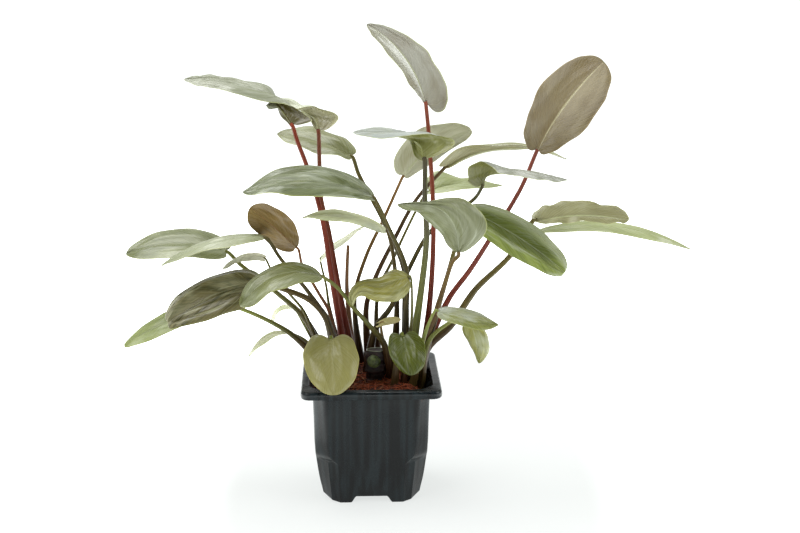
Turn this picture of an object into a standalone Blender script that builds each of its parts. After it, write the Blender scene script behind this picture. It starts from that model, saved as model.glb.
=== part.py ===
"""A young lagenandra growing in a small square nursery pot.

The pot is a thin moulded plastic one with a turned-down rim and four corner feet.
It is filled with coir, a short rhizome stands in the middle, and every leaf is a blade
on its own long stalk. One leaf has lost its blade, so only its stalk is left.

Frame: metres, +Z up. The plant faces the -Y side and +X is to its right.
The origin is on the ground, under the middle of the whole plant's box.
"""
import math
from collections import namedtuple

import bpy
import bmesh
from mathutils import Vector

MM = 0.001

# Pot, in millimetres
POT_HEIGHT = 49.0
POT_TURN = 2.0
RIM_SIDE = 54.5
RIM_RADIUS = 3.2
RIM_LIP = 3.4
RIM_THICK = 0.9
WALL = 0.9
FOOT_WALL = 1.6
BODY_TOP_SIDE = 46.8
BODY_FOOT_SIDE = 39.0
CORNER_CUT_TOP = 4.6
CORNER_CUT_FOOT = 8.4
FOOT_ARCH_WIDTH = 13.0
FOOT_ARCH_HEIGHT = 2.6
FOOT_ARCH_TOP = 0.45
# Points on one side of a pot ring, and those of them that the foot's arch lifts
SIDE_POINTS = 6
ARCH_POINTS = (2, 3)
FLOOR_UNDERSIDE = 3.4
FLOOR_THICK = 1.0

# Coir filling
FIT_GAP = 0.3
COIR_TOP = 45.0
COIR_EDGE_DROP = 1.0
COIR_CROWN = 0.93

# Rhizome stump
STUMP_PLACE = (1.6, -4.0)
STUMP_RADIUS = 3.7
STUMP_HEIGHT = 14.5
STUMP_SIDES = 12
STUMP_LEAN = 0.6
STUMP_KNOBS = 0.06
# Swell of the stump at each share of its height: leaf rings, then the bud
STUMP_PROFILE = [(0.0, 1.0), (0.16, 1.12), (0.3, 0.98), (0.46, 1.1),
                 (0.62, 0.94), (0.78, 1.04), (0.9, 0.9), (1.0, 0.62)]

# Leaves
STALK_FOOT = COIR_TOP + FIT_GAP
STALK_RINGS = 7
STALK_SIDES = 8
STALK_FOOT_SWELL = 1.3
STALK_TOP_SWELL = 0.85
BLADE_ROWS = 8
SHEET_THICK = 0.7
RIB_RISE = 0.35
RIB_DEPTH = 0.8
BLADE_LEAD = 1.5
LOBE_START = 0.04
LOBE_PEAK = 0.2
MIDRIB_LAG = 1.15
SLOPE_STEP = 0.02

# The plant is laid out as it is seen from this eye, on a plane that stands square to the sight line.
# A place on the plane is read across and up in millimetres, and a depth is read back along +Y.
EYE_DISTANCE = 600.0
EYE_PITCH = math.radians(13.3)
SIGHT_CENTRE = Vector((12.0, 0.0, 92.7))
SIGHT_CENTRE_ACROSS = 12.0
SIGHT_CENTRE_UP = 93.4

Leaf = namedtuple("Leaf", "name base tip bow left right lobes acute girth root stalk colour")

# Leaf colours: linear red, green, blue
GREY_GREEN = (0.24, 0.30, 0.19)
PALE_GREEN = (0.36, 0.42, 0.22)
DEEP_GREEN = (0.10, 0.14, 0.04)
BRIGHT_GREEN = (0.12, 0.19, 0.04)
OLIVE = (0.30, 0.31, 0.12)
TAN = (0.30, 0.24, 0.14)
BROWN = (0.13, 0.08, 0.035)
CREAM = (0.55, 0.42, 0.28)


def leaf(name, base, tip, bow, left, right, root, stalk,
         lobes=(0.1, 0.1), acute=0.25, girth=0.9, colour=GREY_GREEN):
    """One row of the leaf list.

    base and tip are the two ends of the midrib, and bow lifts its middle.
    left and right run from the midrib to the widest places of the blade, named as the upper face
    is looked at with the tip up. lobes tell how far each side reaches back past the stalk,
    as a share of the blade. root is the stalk's foot in plan and stalk its places on the way.
    """
    return Leaf(name, base, tip, bow, left, right, lobes, acute, girth, root, stalk, colour)


LEAVES = [
    leaf("leaf_top_left", (-36.8, 157.0, 6.0), (-74.4, 168.4, 8.0), (3.0, 5.0, 0.0),
         left=(-0.5, -3.4, -12.0), right=(0.5, 3.4, 13.0), lobes=(0.26, 0.05),
         root=(-9.0, 6.0),
         stalk=[(-12.4, 77.0, 7.0), (-17.6, 95.6, 8.5), (-20.8, 115.2, 10.0), (-25.2, 134.4, 10.0)]),
    leaf("leaf_top_left_small", (-21.2, 150.4, 18.0), (-43.0, 160.6, 26.0), (0.0, 1.4, 0.0),
         left=(0.0, -2.8, -10.0), right=(2.5, 6.0, 12.0), lobes=(0.22, 0.4),
         root=(-6.0, 10.0),
         stalk=[(-10.4, 77.0, 11.0), (-14.4, 95.6, 13.0), (-18.0, 115.2, 15.0), (-20.4, 134.4, 16.0)]),
    leaf("leaf_top", (22.0, 159.2, 11.0), (-1.2, 190.4, 0.0), (3.6, 2.7, 0.0),
         left=(8.8, 6.6, 7.0), right=(-4.4, -3.3, 11.0), lobes=(0.2, 0.05), acute=0.45,
         root=(20.5, 10.0),
         stalk=[(24.2, 82.0, 10.0), (25.4, 112.0, 11.0), (23.6, 144.8, 12.0)], colour=TAN),
    leaf("leaf_top_right", (67.2, 140.4, 14.0), (93.6, 175.4, 6.0), (-1.6, 1.2, -1.0),
         left=(10.0, -7.5, 4.0), right=(-10.4, 7.8, 4.0), lobes=(0.05, 0.05), acute=0.1,
         root=(17.0, 3.0),
         stalk=[(28.8, 76.0, 5.0), (47.2, 103.2, 9.0), (60.0, 124.0, 13.0)], colour=TAN),
    leaf("leaf_upper_left_back", (-8.8, 137.4, 28.0), (-37.2, 146.4, 38.0), (0.0, 2.6, 0.0),
         left=(-1.0, -4.6, -11.0), right=(1.2, 4.6, 12.0), lobes=(0.12, 0.26),
         root=(14.5, 12.5),
         stalk=[(14.0, 77.0, 15.0), (13.6, 92.4, 17.0), (5.2, 112.0, 21.0), (-4.4, 130.0, 26.0)]),
    leaf("leaf_middle_left", (-0.8, 121.8, -2.0), (-50.8, 122.8, -18.0), (0.0, 6.0, 0.0),
         left=(0.0, -6.0, -13.0), right=(0.0, 6.0, 12.5), lobes=(0.02, 0.02),
         root=(14.2, 7.0), stalk=[(14.6, 77.0, 5.5), (14.6, 92.0, 3.5), (7.0, 110.0, 0.5)]),
    leaf("leaf_middle_narrow", (6.0, 107.8, 8.5), (-25.2, 112.8, -5.0), (0.0, 3.2, 0.0),
         left=(-0.3, -1.8, -7.0), right=(0.3, 2.2, 7.0), lobes=(0.0, 0.0),
         root=(9.5, 17.0), stalk=[(10.8, 80.0, 13.0), (9.4, 97.0, 10.5)]),
    leaf("leaf_middle_thin", (-18.8, 97.2, 20.0), (-2.0, 109.6, 30.0), (0.0, 0.4, 0.0),
         left=(-0.5, 0.9, 6.0), right=(0.5, -0.8, -6.0), girth=0.5,
         root=(-11.0, 16.0), stalk=[(-16.4, 78.0, 17.0), (-17.6, 86.0, 18.0)], colour=PALE_GREEN),
    leaf("leaf_brown", (-30.0, 100.8, -2.0), (-47.0, 117.2, -7.0), (0.4, 0.4, 0.0),
         left=(4.2, 4.4, 4.0), right=(-4.0, -4.0, 4.0), lobes=(0.02, 0.02), acute=0.1, girth=0.6,
         root=(-12.5, 3.0),
         stalk=[(-16.0, 74.4, 1.5), (-20.8, 83.2, 0.0), (-27.2, 94.4, -2.0)], colour=BROWN),
    leaf("leaf_far_left", (-58.0, 99.4, 10.0), (-97.6, 98.4, 8.0), (0.0, 3.2, 0.0),
         left=(-0.3, -6.2, -12.0), right=(0.5, 6.4, 13.0), lobes=(0.1, 0.1),
         root=(-15.0, 8.5),
         stalk=[(-25.6, 72.0, 6.0), (-37.2, 82.8, 6.5), (-51.6, 94.0, 9.0)], colour=PALE_GREEN),
    leaf("leaf_left_narrow", (-43.6, 102.6, -8.0), (-83.6, 93.6, -14.0), (0.0, 2.9, 0.0),
         left=(-0.4, -3.2, -11.0), right=(0.6, 3.3, 12.0), lobes=(0.0, 0.0), girth=0.8,
         root=(-13.0, -1.0), stalk=[(-17.5, 72.0, -3.0), (-24.8, 83.4, -5.0), (-35.6, 96.4, -7.0)]),
    leaf("leaf_left_bright", (-19.6, 90.0, -18.0), (-53.2, 77.6, -30.0), (-0.5, 4.6, 0.0),
         left=(-0.6, -5.0, -10.0), right=(1.0, 5.2, 11.0), lobes=(0.02, 0.0), girth=0.8,
         root=(9.0, -3.0),
         stalk=[(5.6, 62.4, -6.0), (0.0, 69.6, -9.0), (-6.8, 77.2, -12.0), (-12.4, 84.4, -14.5)],
         colour=BRIGHT_GREEN),
    leaf("leaf_left_dark", (-42.0, 87.0, -10.0), (-80.0, 69.6, -24.0), (-1.0, 4.0, 0.0),
         left=(-2.5, -8.0, -9.0), right=(2.5, 9.4, 10.0), lobes=(0.05, 0.05), acute=0.15, girth=1.1,
         root=(-11.0, -4.0), stalk=[(-16.8, 71.0, -6.0), (-23.6, 79.6, -9.0), (-33.6, 84.0, -10.5)],
         colour=DEEP_GREEN),
    leaf("leaf_left_tiny", (-43.6, 96.4, 2.5), (-59.2, 92.0, -2.0), (0.0, 2.0, 0.0),
         left=(-0.3, -1.4, -4.0), right=(0.3, 1.8, 4.0), girth=0.5,
         root=(-16.0, 2.0), stalk=[(-26.0, 74.6, 1.0), (-33.2, 83.6, 1.5), (-39.5, 92.0, 2.0)]),
    leaf("leaf_lower_left", (-62.0, 78.0, 9.0), (-98.4, 61.8, 3.0), (0.0, 1.5, 0.0),
         left=(-1.6, -4.8, -10.0), right=(1.6, 3.6, 11.0), girth=0.8,
         root=(-17.5, 12.5),
         stalk=[(-26.4, 62.0, 10.0), (-35.2, 68.8, 9.0), (-50.4, 76.0, 9.0)], colour=PALE_GREEN),
    leaf("leaf_lower_left_thin", (-35.0, 67.0, 15.5), (-48.8, 57.2, 20.0), (-0.5, 1.5, 0.0),
         left=(-0.4, -0.7, -5.0), right=(0.4, 0.8, 5.0), girth=0.5,
         root=(-18.5, 16.0), stalk=[(-21.5, 57.0, 15.0), (-26.0, 63.6, 15.0)], colour=PALE_GREEN),
    leaf("leaf_lower_left_small", (-31.6, 77.0, 18.0), (-39.0, 71.0, 24.0), (-1.5, 1.5, 0.0),
         left=(-0.4, -0.7, -4.0), right=(0.3, 0.8, 4.0), girth=0.5,
         root=(-15.0, 17.0), stalk=[(-22.5, 64.0, 17.5), (-28.0, 73.2, 17.5)], colour=PALE_GREEN),
    leaf("leaf_centre_top", (22.0, 141.4, -2.0), (-6.8, 146.8, -10.0), (0.0, 2.4, 0.0),
         left=(1.0, -4.2, -10.0), right=(0.0, 2.2, 11.0), lobes=(0.42, 0.42), girth=1.1,
         root=(15.0, 0.5), stalk=[(20.4, 83.6, 2.0), (22.2, 104.0, 1.0), (22.0, 120.4, 0.5)]),
    leaf("leaf_centre_back", (13.8, 130.2, 23.0), (40.0, 149.0, 18.0), (-1.0, 1.4, 0.0),
         left=(3.0, -4.2, 3.0), right=(-5.0, 7.2, -5.0), lobes=(0.05, 0.05), girth=0.7,
         root=(-4.0, 18.5), stalk=[(-6.2, 80.0, 21.0), (-2.0, 96.4, 24.0), (6.0, 113.6, 25.0)]),
    leaf("leaf_right_long", (28.5, 134.4, 21.0), (78.8, 136.6, 31.0), (0.0, 5.5, 0.0),
         left=(-0.6, 2.6, 12.0), right=(0.6, -2.6, -10.0), lobes=(0.05, 0.05), girth=0.8,
         root=(-0.5, 15.0),
         stalk=[(-1.6, 76.0, 20.0), (1.6, 87.6, 24.0), (10.0, 104.8, 27.0), (18.4, 120.0, 24.0)],
         colour=OLIVE),
    leaf("leaf_right_pale", (24.0, 123.5, 36.0), (53.2, 125.6, 44.0), (0.0, 1.5, 0.0),
         left=(-2.0, 7.0, 9.0), right=(0.0, -1.8, -9.0), lobes=(0.05, 0.05), girth=0.6,
         root=(3.0, 18.5),
         stalk=[(3.0, 82.0, 24.0), (9.5, 97.0, 30.0), (17.5, 114.0, 34.0)], colour=PALE_GREEN),
    leaf("leaf_right_twisted", (46.0, 128.4, 2.0), (79.2, 128.0, -14.0), (0.0, 2.4, 0.0),
         left=(-1.0, 6.0, 10.0), right=(0.0, -1.2, -9.0), lobes=(0.15, 0.1), girth=0.8,
         root=(-2.0, 5.0),
         stalk=[(2.0, 68.0, 6.0), (8.4, 77.2, 8.0), (14.8, 90.8, 10.0), (24.4, 107.6, 16.5),
                (41.6, 120.4, 9.0)]),
    leaf("leaf_front_heart", (33.0, 116.0, -16.0), (36.0, 99.2, -38.0), (0.0, 1.0, -2.0),
         left=(13.0, -1.5, 4.0), right=(-23.0, 4.0, 5.0), lobes=(0.1, 0.28), acute=0.6,
         root=(13.0, -6.0),
         stalk=[(26.5, 78.0, -4.0), (30.0, 90.0, -5.0), (33.6, 102.0, -8.0), (33.2, 114.4, -12.0)]),
    leaf("leaf_right_dark", (40.0, 118.0, -4.0), (78.0, 89.4, -13.0), (1.4, 1.8, 0.0),
         left=(5.2, 6.9, 8.0), right=(-5.2, -6.9, -8.0), lobes=(0.02, 0.05), acute=0.1,
         root=(18.5, -2.5),
         stalk=[(27.5, 78.0, -0.5), (31.5, 92.0, 0.0), (36.0, 108.0, 0.5)], colour=DEEP_GREEN),
    leaf("leaf_right_ruffled", (67.0, 112.4, 8.0), (103.6, 111.6, 4.0), (0.0, 3.3, 0.0),
         left=(0.0, -4.2, 8.0), right=(0.0, 4.4, -9.0), lobes=(0.05, 0.05), girth=1.1,
         root=(19.8, 0.8),
         stalk=[(22.4, 60.5, 1.0), (32.4, 70.0, 2.0), (42.0, 84.0, 3.5), (56.0, 97.6, 6.0)],
         colour=TAN),
    leaf("leaf_far_right", (68.0, 107.5, 22.0), (128.4, 100.0, 34.0), (0.0, 5.0, 0.0),
         left=(0.0, 2.2, 11.0), right=(0.0, -2.0, -10.0), lobes=(0.0, 0.0),
         root=(19.8, 5.8),
         stalk=[(22.6, 60.5, 6.2), (33.5, 71.5, 8.0), (44.0, 86.0, 12.0), (57.5, 98.6, 17.0)],
         colour=OLIVE),
    leaf("leaf_lower_right", (27.5, 75.6, -14.0), (51.6, 70.0, -22.0), (0.0, 0.2, 0.0),
         left=(0.8, 4.0, 8.0), right=(-0.8, -4.0, -7.0), lobes=(0.0, 0.0), girth=0.6,
         root=(16.5, -9.0), stalk=[(22.0, 66.4, -11.0)], colour=BRIGHT_GREEN),
    leaf("leaf_lower_right_hanging", (40.5, 70.0, -4.0), (43.8, 54.8, -9.0), (0.4, 0.4, -1.5),
         left=(5.8, 1.0, 2.0), right=(-5.0, -1.0, 2.0), lobes=(0.0, 0.0), girth=0.6,
         root=(20.3, -6.5),
         stalk=[(23.2, 62.8, -5.5), (30.8, 70.4, -3.0), (38.4, 72.0, -1.0)], colour=PALE_GREEN),
    leaf("leaf_pot_right", (13.2, 66.4, -16.0), (15.6, 49.6, -24.5), (0.0, 0.4, -1.0),
         left=(8.4, 0.5, 1.0), right=(-8.0, 0.5, 1.0), lobes=(0.04, 0.04), acute=0.4, girth=0.6,
         root=(9.5, -11.5), stalk=[(11.0, 58.0, -11.0), (12.4, 66.8, -12.0)], colour=BRIGHT_GREEN),
    leaf("leaf_pot_left", (-15.6, 64.6, -18.0), (-15.2, 42.0, -33.0), (0.0, 0.4, -1.5),
         left=(11.6, 0.0, 2.0), right=(-11.6, 0.0, 2.0), lobes=(0.0, 0.0), acute=0.4, girth=0.7,
         root=(-13.5, -9.0), stalk=[(-14.5, 56.0, -10.0), (-15.4, 65.2, -13.5)], colour=OLIVE),
    leaf("leaf_centre_curled", (14.8, 89.6, -10.0), (-8.0, 78.0, -17.0), (0.0, 3.0, -1.0),
         left=(0.5, -8.0, -4.0), right=(0.0, 4.0, 7.0), lobes=(0.05, 0.0), girth=0.5,
         root=(13.0, -9.5), stalk=[(16.5, 70.0, -9.0), (16.8, 82.0, -9.5)], colour=BRIGHT_GREEN),
    leaf("leaf_new", (5.6, 71.2, 2.0), (12.0, 72.2, 0.0), (0.0, 0.3, 0.0),
         left=(0.0, 1.4, 2.0), right=(0.0, -1.4, -2.0), lobes=(0.0, 0.0), girth=0.4,
         root=(5.5, 1.0), stalk=[(5.6, 60.0, 1.5)], colour=CREAM),
]

# The stalk that has lost its blade
CUT_STALK_ROOT = (-7.5, 14.0)
CUT_STALK = [(-8.0, 68.0, 14.0), (-9.2, 83.6, 14.0), (-9.2, 91.6, 14.0), (-8.8, 101.6, 14.0)]
CUT_STALK_GIRTH = 0.8


def clear_scene():
    """Removes whatever the scene holds."""
    for item in list(bpy.data.objects):
        bpy.data.objects.remove(item, do_unlink=True)


def material(name, colour, roughness, metallic=0.0):
    """A plain Principled material."""
    made = bpy.data.materials.new(name)
    made.use_nodes = True
    shader = made.node_tree.nodes["Principled BSDF"]
    shader.inputs["Base Color"].default_value = (*colour, 1.0)
    shader.inputs["Roughness"].default_value = roughness
    shader.inputs["Metallic"].default_value = metallic
    return made


def add_object(name, shape, finish):
    """Turns a bmesh that is laid out in millimetres into an object in metres."""
    bmesh.ops.recalc_face_normals(shape, faces=shape.faces)
    bmesh.ops.scale(shape, vec=(MM, MM, MM), verts=shape.verts)
    mesh = bpy.data.meshes.new(name)
    shape.to_mesh(mesh)
    shape.free()
    made = bpy.data.objects.new(name, mesh)
    made.data.materials.append(finish)
    bpy.context.scene.collection.objects.link(made)
    return made


def skin_rings(rings):
    """Closed skin over a row of equal rings of points, with a flat cap on both ends."""
    shape = bmesh.new()
    loops = [[shape.verts.new(point) for point in ring] for ring in rings]
    for lower, upper in zip(loops, loops[1:]):
        for i in range(len(lower)):
            j = (i + 1) % len(lower)
            shape.faces.new((lower[i], lower[j], upper[j], upper[i]))
    shape.faces.new(loops[0])
    shape.faces.new(loops[-1])
    return shape


# Pot

def turned(x, y, z):
    """A pot point, with the pot's small turn about its axis."""
    angle = math.radians(POT_TURN)
    cosine, sine = math.cos(angle), math.sin(angle)
    return Vector((x * cosine - y * sine, x * sine + y * cosine, z))


def cut_square(side, cut, z):
    """Ring of a square with cut corners, with a point at each end and each side of the middle arch."""
    half = side / 2
    arch = FOOT_ARCH_WIDTH / 2
    top = arch * FOOT_ARCH_TOP
    edge = [(-half + cut, -half), (-arch, -half), (-top, -half),
            (top, -half), (arch, -half), (half - cut, -half)]
    points = []
    for turn in range(4):
        for x, y in edge:
            for _ in range(turn):
                x, y = -y, x
            points.append(turned(x, y, z))
    return points


def round_square(side, radius, z):
    """Ring of a square with round corners, matched point by point to cut_square."""
    half = side / 2
    arch = FOOT_ARCH_WIDTH / 2
    bend = radius * (1 - math.cos(math.radians(45)))
    edge = [(-half + bend, -half + bend), (-half + radius, -half), (-arch, -half), (arch, -half),
            (half - radius, -half), (half - bend, -half + bend)]
    points = []
    for turn in range(4):
        for x, y in edge:
            for _ in range(turn):
                x, y = -y, x
            points.append(turned(x, y, z))
    return points


def body_side(z):
    """Width of the pot's body at a height."""
    return BODY_FOOT_SIDE + (BODY_TOP_SIDE - BODY_FOOT_SIDE) * z / POT_HEIGHT


def body_cut(z):
    """Corner cut of the pot's body at a height."""
    return CORNER_CUT_FOOT + (CORNER_CUT_TOP - CORNER_CUT_FOOT) * z / POT_HEIGHT


def inner_square(z, gap=0.0):
    """Ring round the inside of the pot's body at a height, drawn in by a gap."""
    return cut_square(body_side(z) - (WALL + gap) * 2, body_cut(z) - WALL / 2, z)


def arched(ring, rise):
    """Lifts the middle points of each side of a foot ring."""
    lifted = []
    for i, point in enumerate(ring):
        share = 1.0 if i % SIDE_POINTS in ARCH_POINTS else 0.0
        lifted.append(point + Vector((0, 0, rise * share)))
    return lifted


def make_pot(finish):
    """Thin wall with a turned-down rim, a raised floor and four feet."""
    lip_foot = POT_HEIGHT - RIM_LIP
    foot = cut_square(BODY_FOOT_SIDE, CORNER_CUT_FOOT, 0.0)
    foot_inside = cut_square(BODY_FOOT_SIDE - FOOT_WALL * 2, CORNER_CUT_FOOT - FOOT_WALL / 2, 0.0)
    floor_top = FLOOR_UNDERSIDE + FLOOR_THICK
    brim_low = POT_HEIGHT - RIM_THICK
    rings = [
        inner_square(FLOOR_UNDERSIDE),
        arched(foot_inside, FOOT_ARCH_HEIGHT),
        arched(foot, FOOT_ARCH_HEIGHT),
        cut_square(body_side(brim_low), body_cut(brim_low), brim_low),
        round_square(RIM_SIDE - 2 * RIM_THICK, RIM_RADIUS - RIM_THICK, brim_low),
        round_square(RIM_SIDE - 2 * RIM_THICK, RIM_RADIUS - RIM_THICK, lip_foot),
        round_square(RIM_SIDE, RIM_RADIUS, lip_foot),
        round_square(RIM_SIDE, RIM_RADIUS, POT_HEIGHT),
        inner_square(POT_HEIGHT),
        inner_square(floor_top),
    ]
    return add_object("pot", skin_rings(rings), finish)


# Filling

def make_coir(finish):
    """Block of coir that fills the pot, a little lower at its edge."""
    edge = inner_square(COIR_TOP - COIR_EDGE_DROP, FIT_GAP)
    rings = [
        inner_square(FLOOR_UNDERSIDE + FLOOR_THICK + FIT_GAP, FIT_GAP),
        edge,
        [Vector((point.x * COIR_CROWN, point.y * COIR_CROWN, COIR_TOP - FIT_GAP)) for point in edge],
    ]
    return add_object("coir", skin_rings(rings), finish)


def make_rhizome(finish):
    """Short knobbly stump, ringed where old leaves have come off."""
    rings = []
    for share, swell in STUMP_PROFILE:
        ring = []
        for k in range(STUMP_SIDES):
            angle = 2 * math.pi * k / STUMP_SIDES
            radius = STUMP_RADIUS * swell * (1 + STUMP_KNOBS * math.sin(3 * angle + 5 * share))
            x = STUMP_PLACE[0] + radius * math.cos(angle) + STUMP_LEAN * share
            y = STUMP_PLACE[1] + radius * math.sin(angle)
            ring.append(Vector((x, y, STALK_FOOT + STUMP_HEIGHT * share)))
        rings.append(ring)
    return add_object("rhizome", skin_rings(rings), finish)


# Leaves

def seen(across, up, depth):
    """The point at a depth on the sight line through a place in the viewing plane."""
    forward = Vector((0.0, math.cos(EYE_PITCH), -math.sin(EYE_PITCH)))
    upward = Vector((0.0, math.sin(EYE_PITCH), math.cos(EYE_PITCH)))
    eye = SIGHT_CENTRE - forward * EYE_DISTANCE
    place = SIGHT_CENTRE + upward * (up - SIGHT_CENTRE_UP)
    place.x += across - SIGHT_CENTRE_ACROSS
    sight = place - eye
    return eye + sight * ((depth - eye.y) / sight.y)


def bent_line(start, bow, end, share):
    """Point of the parabola with its middle lifted by bow, straight on beyond its ends."""
    control = (start + end) / 2 + bow * 2
    inside = min(max(share, 0.0), 1.0)
    point = start * (1 - inside) ** 2 + control * 2 * inside * (1 - inside) + end * inside ** 2
    slope = (control - start) * 2 * (1 - inside) + (end - control) * 2 * inside
    return point + slope * (share - inside)


def through(points, share):
    """Point of a smooth curve through a list of points, at a share of the way along it."""
    lengths = [(b - a).length for a, b in zip(points, points[1:])]
    way = min(max(share, 0.0), 1.0) * sum(lengths)
    i = 0
    while i < len(lengths) - 1 and way > lengths[i]:
        way -= lengths[i]
        i += 1
    t = way / lengths[i]

    def slope(k):
        first, last = max(k - 1, 0), min(k + 1, len(points) - 1)
        return (points[last] - points[first]) / sum(lengths[first:last])

    start_pull = slope(i) * lengths[i]
    end_pull = slope(i + 1) * lengths[i]
    return (points[i] * (2 * t ** 3 - 3 * t ** 2 + 1) + start_pull * (t ** 3 - 2 * t ** 2 + t)
            + points[i + 1] * (3 * t ** 2 - 2 * t ** 3) + end_pull * (t ** 3 - t ** 2))


def blade_edge(u, lobe, acute):
    """Where a heart-shaped edge is: its place along the midrib and its share of the half width."""
    peak = u / LOBE_PEAK
    backward = peak ** 1.2 * math.exp(1.2 * (1 - peak)) * (1 - u) / (1 - LOBE_PEAK)
    along = (1 - math.cos(math.pi * u)) / 2 - (lobe + LOBE_START) * backward
    width = math.sin(math.pi * u) ** 0.8 * (1 - acute * u * u)
    return along, width


def blade_ring(row, base, tip, bow, sides):
    """Eight points round the blade at one row, from the edge over the upper face and back below."""
    share = row / BLADE_ROWS
    middle = bent_line(base, bow, tip, share ** MIDRIB_LAG)
    ahead = bent_line(base, bow, tip, share ** MIDRIB_LAG + SLOPE_STEP) - middle
    halves = []
    for (side, lobe, acute) in sides:
        along, width = blade_edge(share, lobe, acute)
        edge = bent_line(base, bow, tip, along) + side * width
        halves.append((edge, middle.lerp(edge, 0.5), SHEET_THICK / 2 * min(1.0, width + 0.4)))
    normal = (sides[1][0] - sides[0][0]).cross(ahead).normalized()
    left_edge, left_mid, left_half = halves[0]
    right_edge, right_mid, right_half = halves[1]
    return [
        right_edge,
        right_mid + normal * right_half,
        middle + normal * RIB_RISE,
        left_mid + normal * left_half,
        left_edge,
        left_mid - normal * left_half,
        middle - normal * RIB_DEPTH,
        right_mid - normal * right_half,
    ]


def stalk_rings(points, girth, top_side):
    """Eight-sided rings along a stalk, listed from its foot, turned to meet the blade at its top."""
    rings = []
    side = top_side
    for step in range(STALK_RINGS, -1, -1):
        share = step / STALK_RINGS
        here = through(points, share)
        before = through(points, max(share - SLOPE_STEP, 0.0))
        after = through(points, min(share + SLOPE_STEP, 1.0))
        tangent = (after - before).normalized()
        side = (side - tangent * side.dot(tangent)).normalized()
        normal = side.cross(tangent)
        radius = girth * (STALK_FOOT_SWELL + (STALK_TOP_SWELL - STALK_FOOT_SWELL) * share)
        ring = []
        for k in range(STALK_SIDES):
            angle = 2 * math.pi * k / STALK_SIDES
            ring.append(here + (side * math.cos(angle) + normal * math.sin(angle)) * radius)
        if step == 0:
            ring = [Vector((point.x, point.y, STALK_FOOT)) for point in ring]
        rings.insert(0, ring)
    return rings


def make_leaf(item, finish):
    """One leaf, stalk and blade in a single skin."""
    base = seen(*item.base)
    tip = seen(*item.tip)
    middle_plain = (base + tip) / 2
    middle_seen = seen(*[(a + b) / 2 + c for a, b, c in zip(item.base, item.tip, item.bow)])
    bow = middle_seen - middle_plain

    def side_vector(offset):
        far = seen(*[(a + b) / 2 + c + d for a, b, c, d in zip(item.base, item.tip, item.bow, offset)])
        return far - middle_seen

    left = side_vector(item.left)
    right = side_vector(item.right)
    sides = [(left, item.lobes[0], item.acute), (right, item.lobes[1], item.acute)]
    foot = Vector((item.root[0], item.root[1], STALK_FOOT))
    lead_in = base - (bent_line(base, bow, tip, SLOPE_STEP) - base).normalized() * BLADE_LEAD
    points = [foot] + [seen(*place) for place in item.stalk] + [lead_in, base]
    rings = stalk_rings(points, item.girth, right)
    rings += [blade_ring(row, base, tip, bow, sides) for row in range(1, BLADE_ROWS)]
    shape = skin_rings(rings)
    close_tip(shape, rings[-1], tip)
    return add_object(item.name, shape, finish)


def close_tip(shape, ring, tip):
    """Swaps the flat cap at the end of the blade for a point."""
    shape.faces.ensure_lookup_table()
    cap = shape.faces[-1]
    corners = list(cap.verts)
    bmesh.ops.delete(shape, geom=[cap], context="FACES_ONLY")
    point = shape.verts.new(tip)
    for i in range(len(corners)):
        shape.faces.new((corners[i], corners[(i + 1) % len(corners)], point))


def make_cut_stalk(finish):
    """The stalk that stands without a blade."""
    points = [Vector((*CUT_STALK_ROOT, STALK_FOOT))] + [seen(*place) for place in CUT_STALK]
    rings = stalk_rings(points, CUT_STALK_GIRTH, Vector((1, 0, 0)))
    return add_object("cut_stalk", skin_rings(rings), finish)


def stand_on_origin(objects):
    """Parents everything to an empty that puts the box's bottom middle on the origin."""
    bpy.context.view_layer.update()
    corners = [item.matrix_world @ Vector(corner) for item in objects for corner in item.bound_box]
    low = Vector([min(corner[k] for corner in corners) for k in range(3)])
    high = Vector([max(corner[k] for corner in corners) for k in range(3)])
    holder = bpy.data.objects.new("plant_place", None)
    bpy.context.scene.collection.objects.link(holder)
    holder.location = (-(low.x + high.x) / 2, -(low.y + high.y) / 2, -low.z)
    for item in objects:
        item.parent = holder


def main():
    clear_scene()
    made = [
        make_pot(material("black_plastic", (0.022, 0.027, 0.028), 0.42)),
        make_coir(material("coir", (0.10, 0.03, 0.012), 0.95)),
        make_rhizome(material("rhizome", (0.03, 0.02, 0.015), 0.7)),
        make_cut_stalk(material("stalk_brown", (0.16, 0.08, 0.03), 0.5)),
    ]
    for item in LEAVES:
        made.append(make_leaf(item, material(item.name, item.colour, 0.4)))
    stand_on_origin(made)


main()
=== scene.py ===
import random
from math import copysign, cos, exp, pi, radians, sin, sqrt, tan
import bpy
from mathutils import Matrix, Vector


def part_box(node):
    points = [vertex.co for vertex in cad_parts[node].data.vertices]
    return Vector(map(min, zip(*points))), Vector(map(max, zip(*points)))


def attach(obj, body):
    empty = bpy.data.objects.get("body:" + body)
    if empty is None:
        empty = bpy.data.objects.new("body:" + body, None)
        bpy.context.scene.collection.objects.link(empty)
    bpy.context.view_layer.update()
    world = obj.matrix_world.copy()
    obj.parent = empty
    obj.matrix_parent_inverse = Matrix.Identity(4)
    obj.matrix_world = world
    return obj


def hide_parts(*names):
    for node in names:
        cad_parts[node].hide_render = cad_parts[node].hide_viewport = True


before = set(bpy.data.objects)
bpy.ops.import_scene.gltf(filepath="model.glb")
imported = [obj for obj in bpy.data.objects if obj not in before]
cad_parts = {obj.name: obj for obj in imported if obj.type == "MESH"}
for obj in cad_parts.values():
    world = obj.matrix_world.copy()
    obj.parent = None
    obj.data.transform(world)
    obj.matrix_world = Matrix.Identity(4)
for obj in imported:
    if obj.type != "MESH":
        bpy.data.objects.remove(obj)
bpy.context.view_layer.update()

# The looks of a young lagenandra in a small square nursery pot.
# Lengths are in millimetres from the pot's axis and the ground, until a piece is made in metres.

from types import SimpleNamespace

import bmesh
import bpy
import numpy as np
from mathutils import Vector, noise

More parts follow.
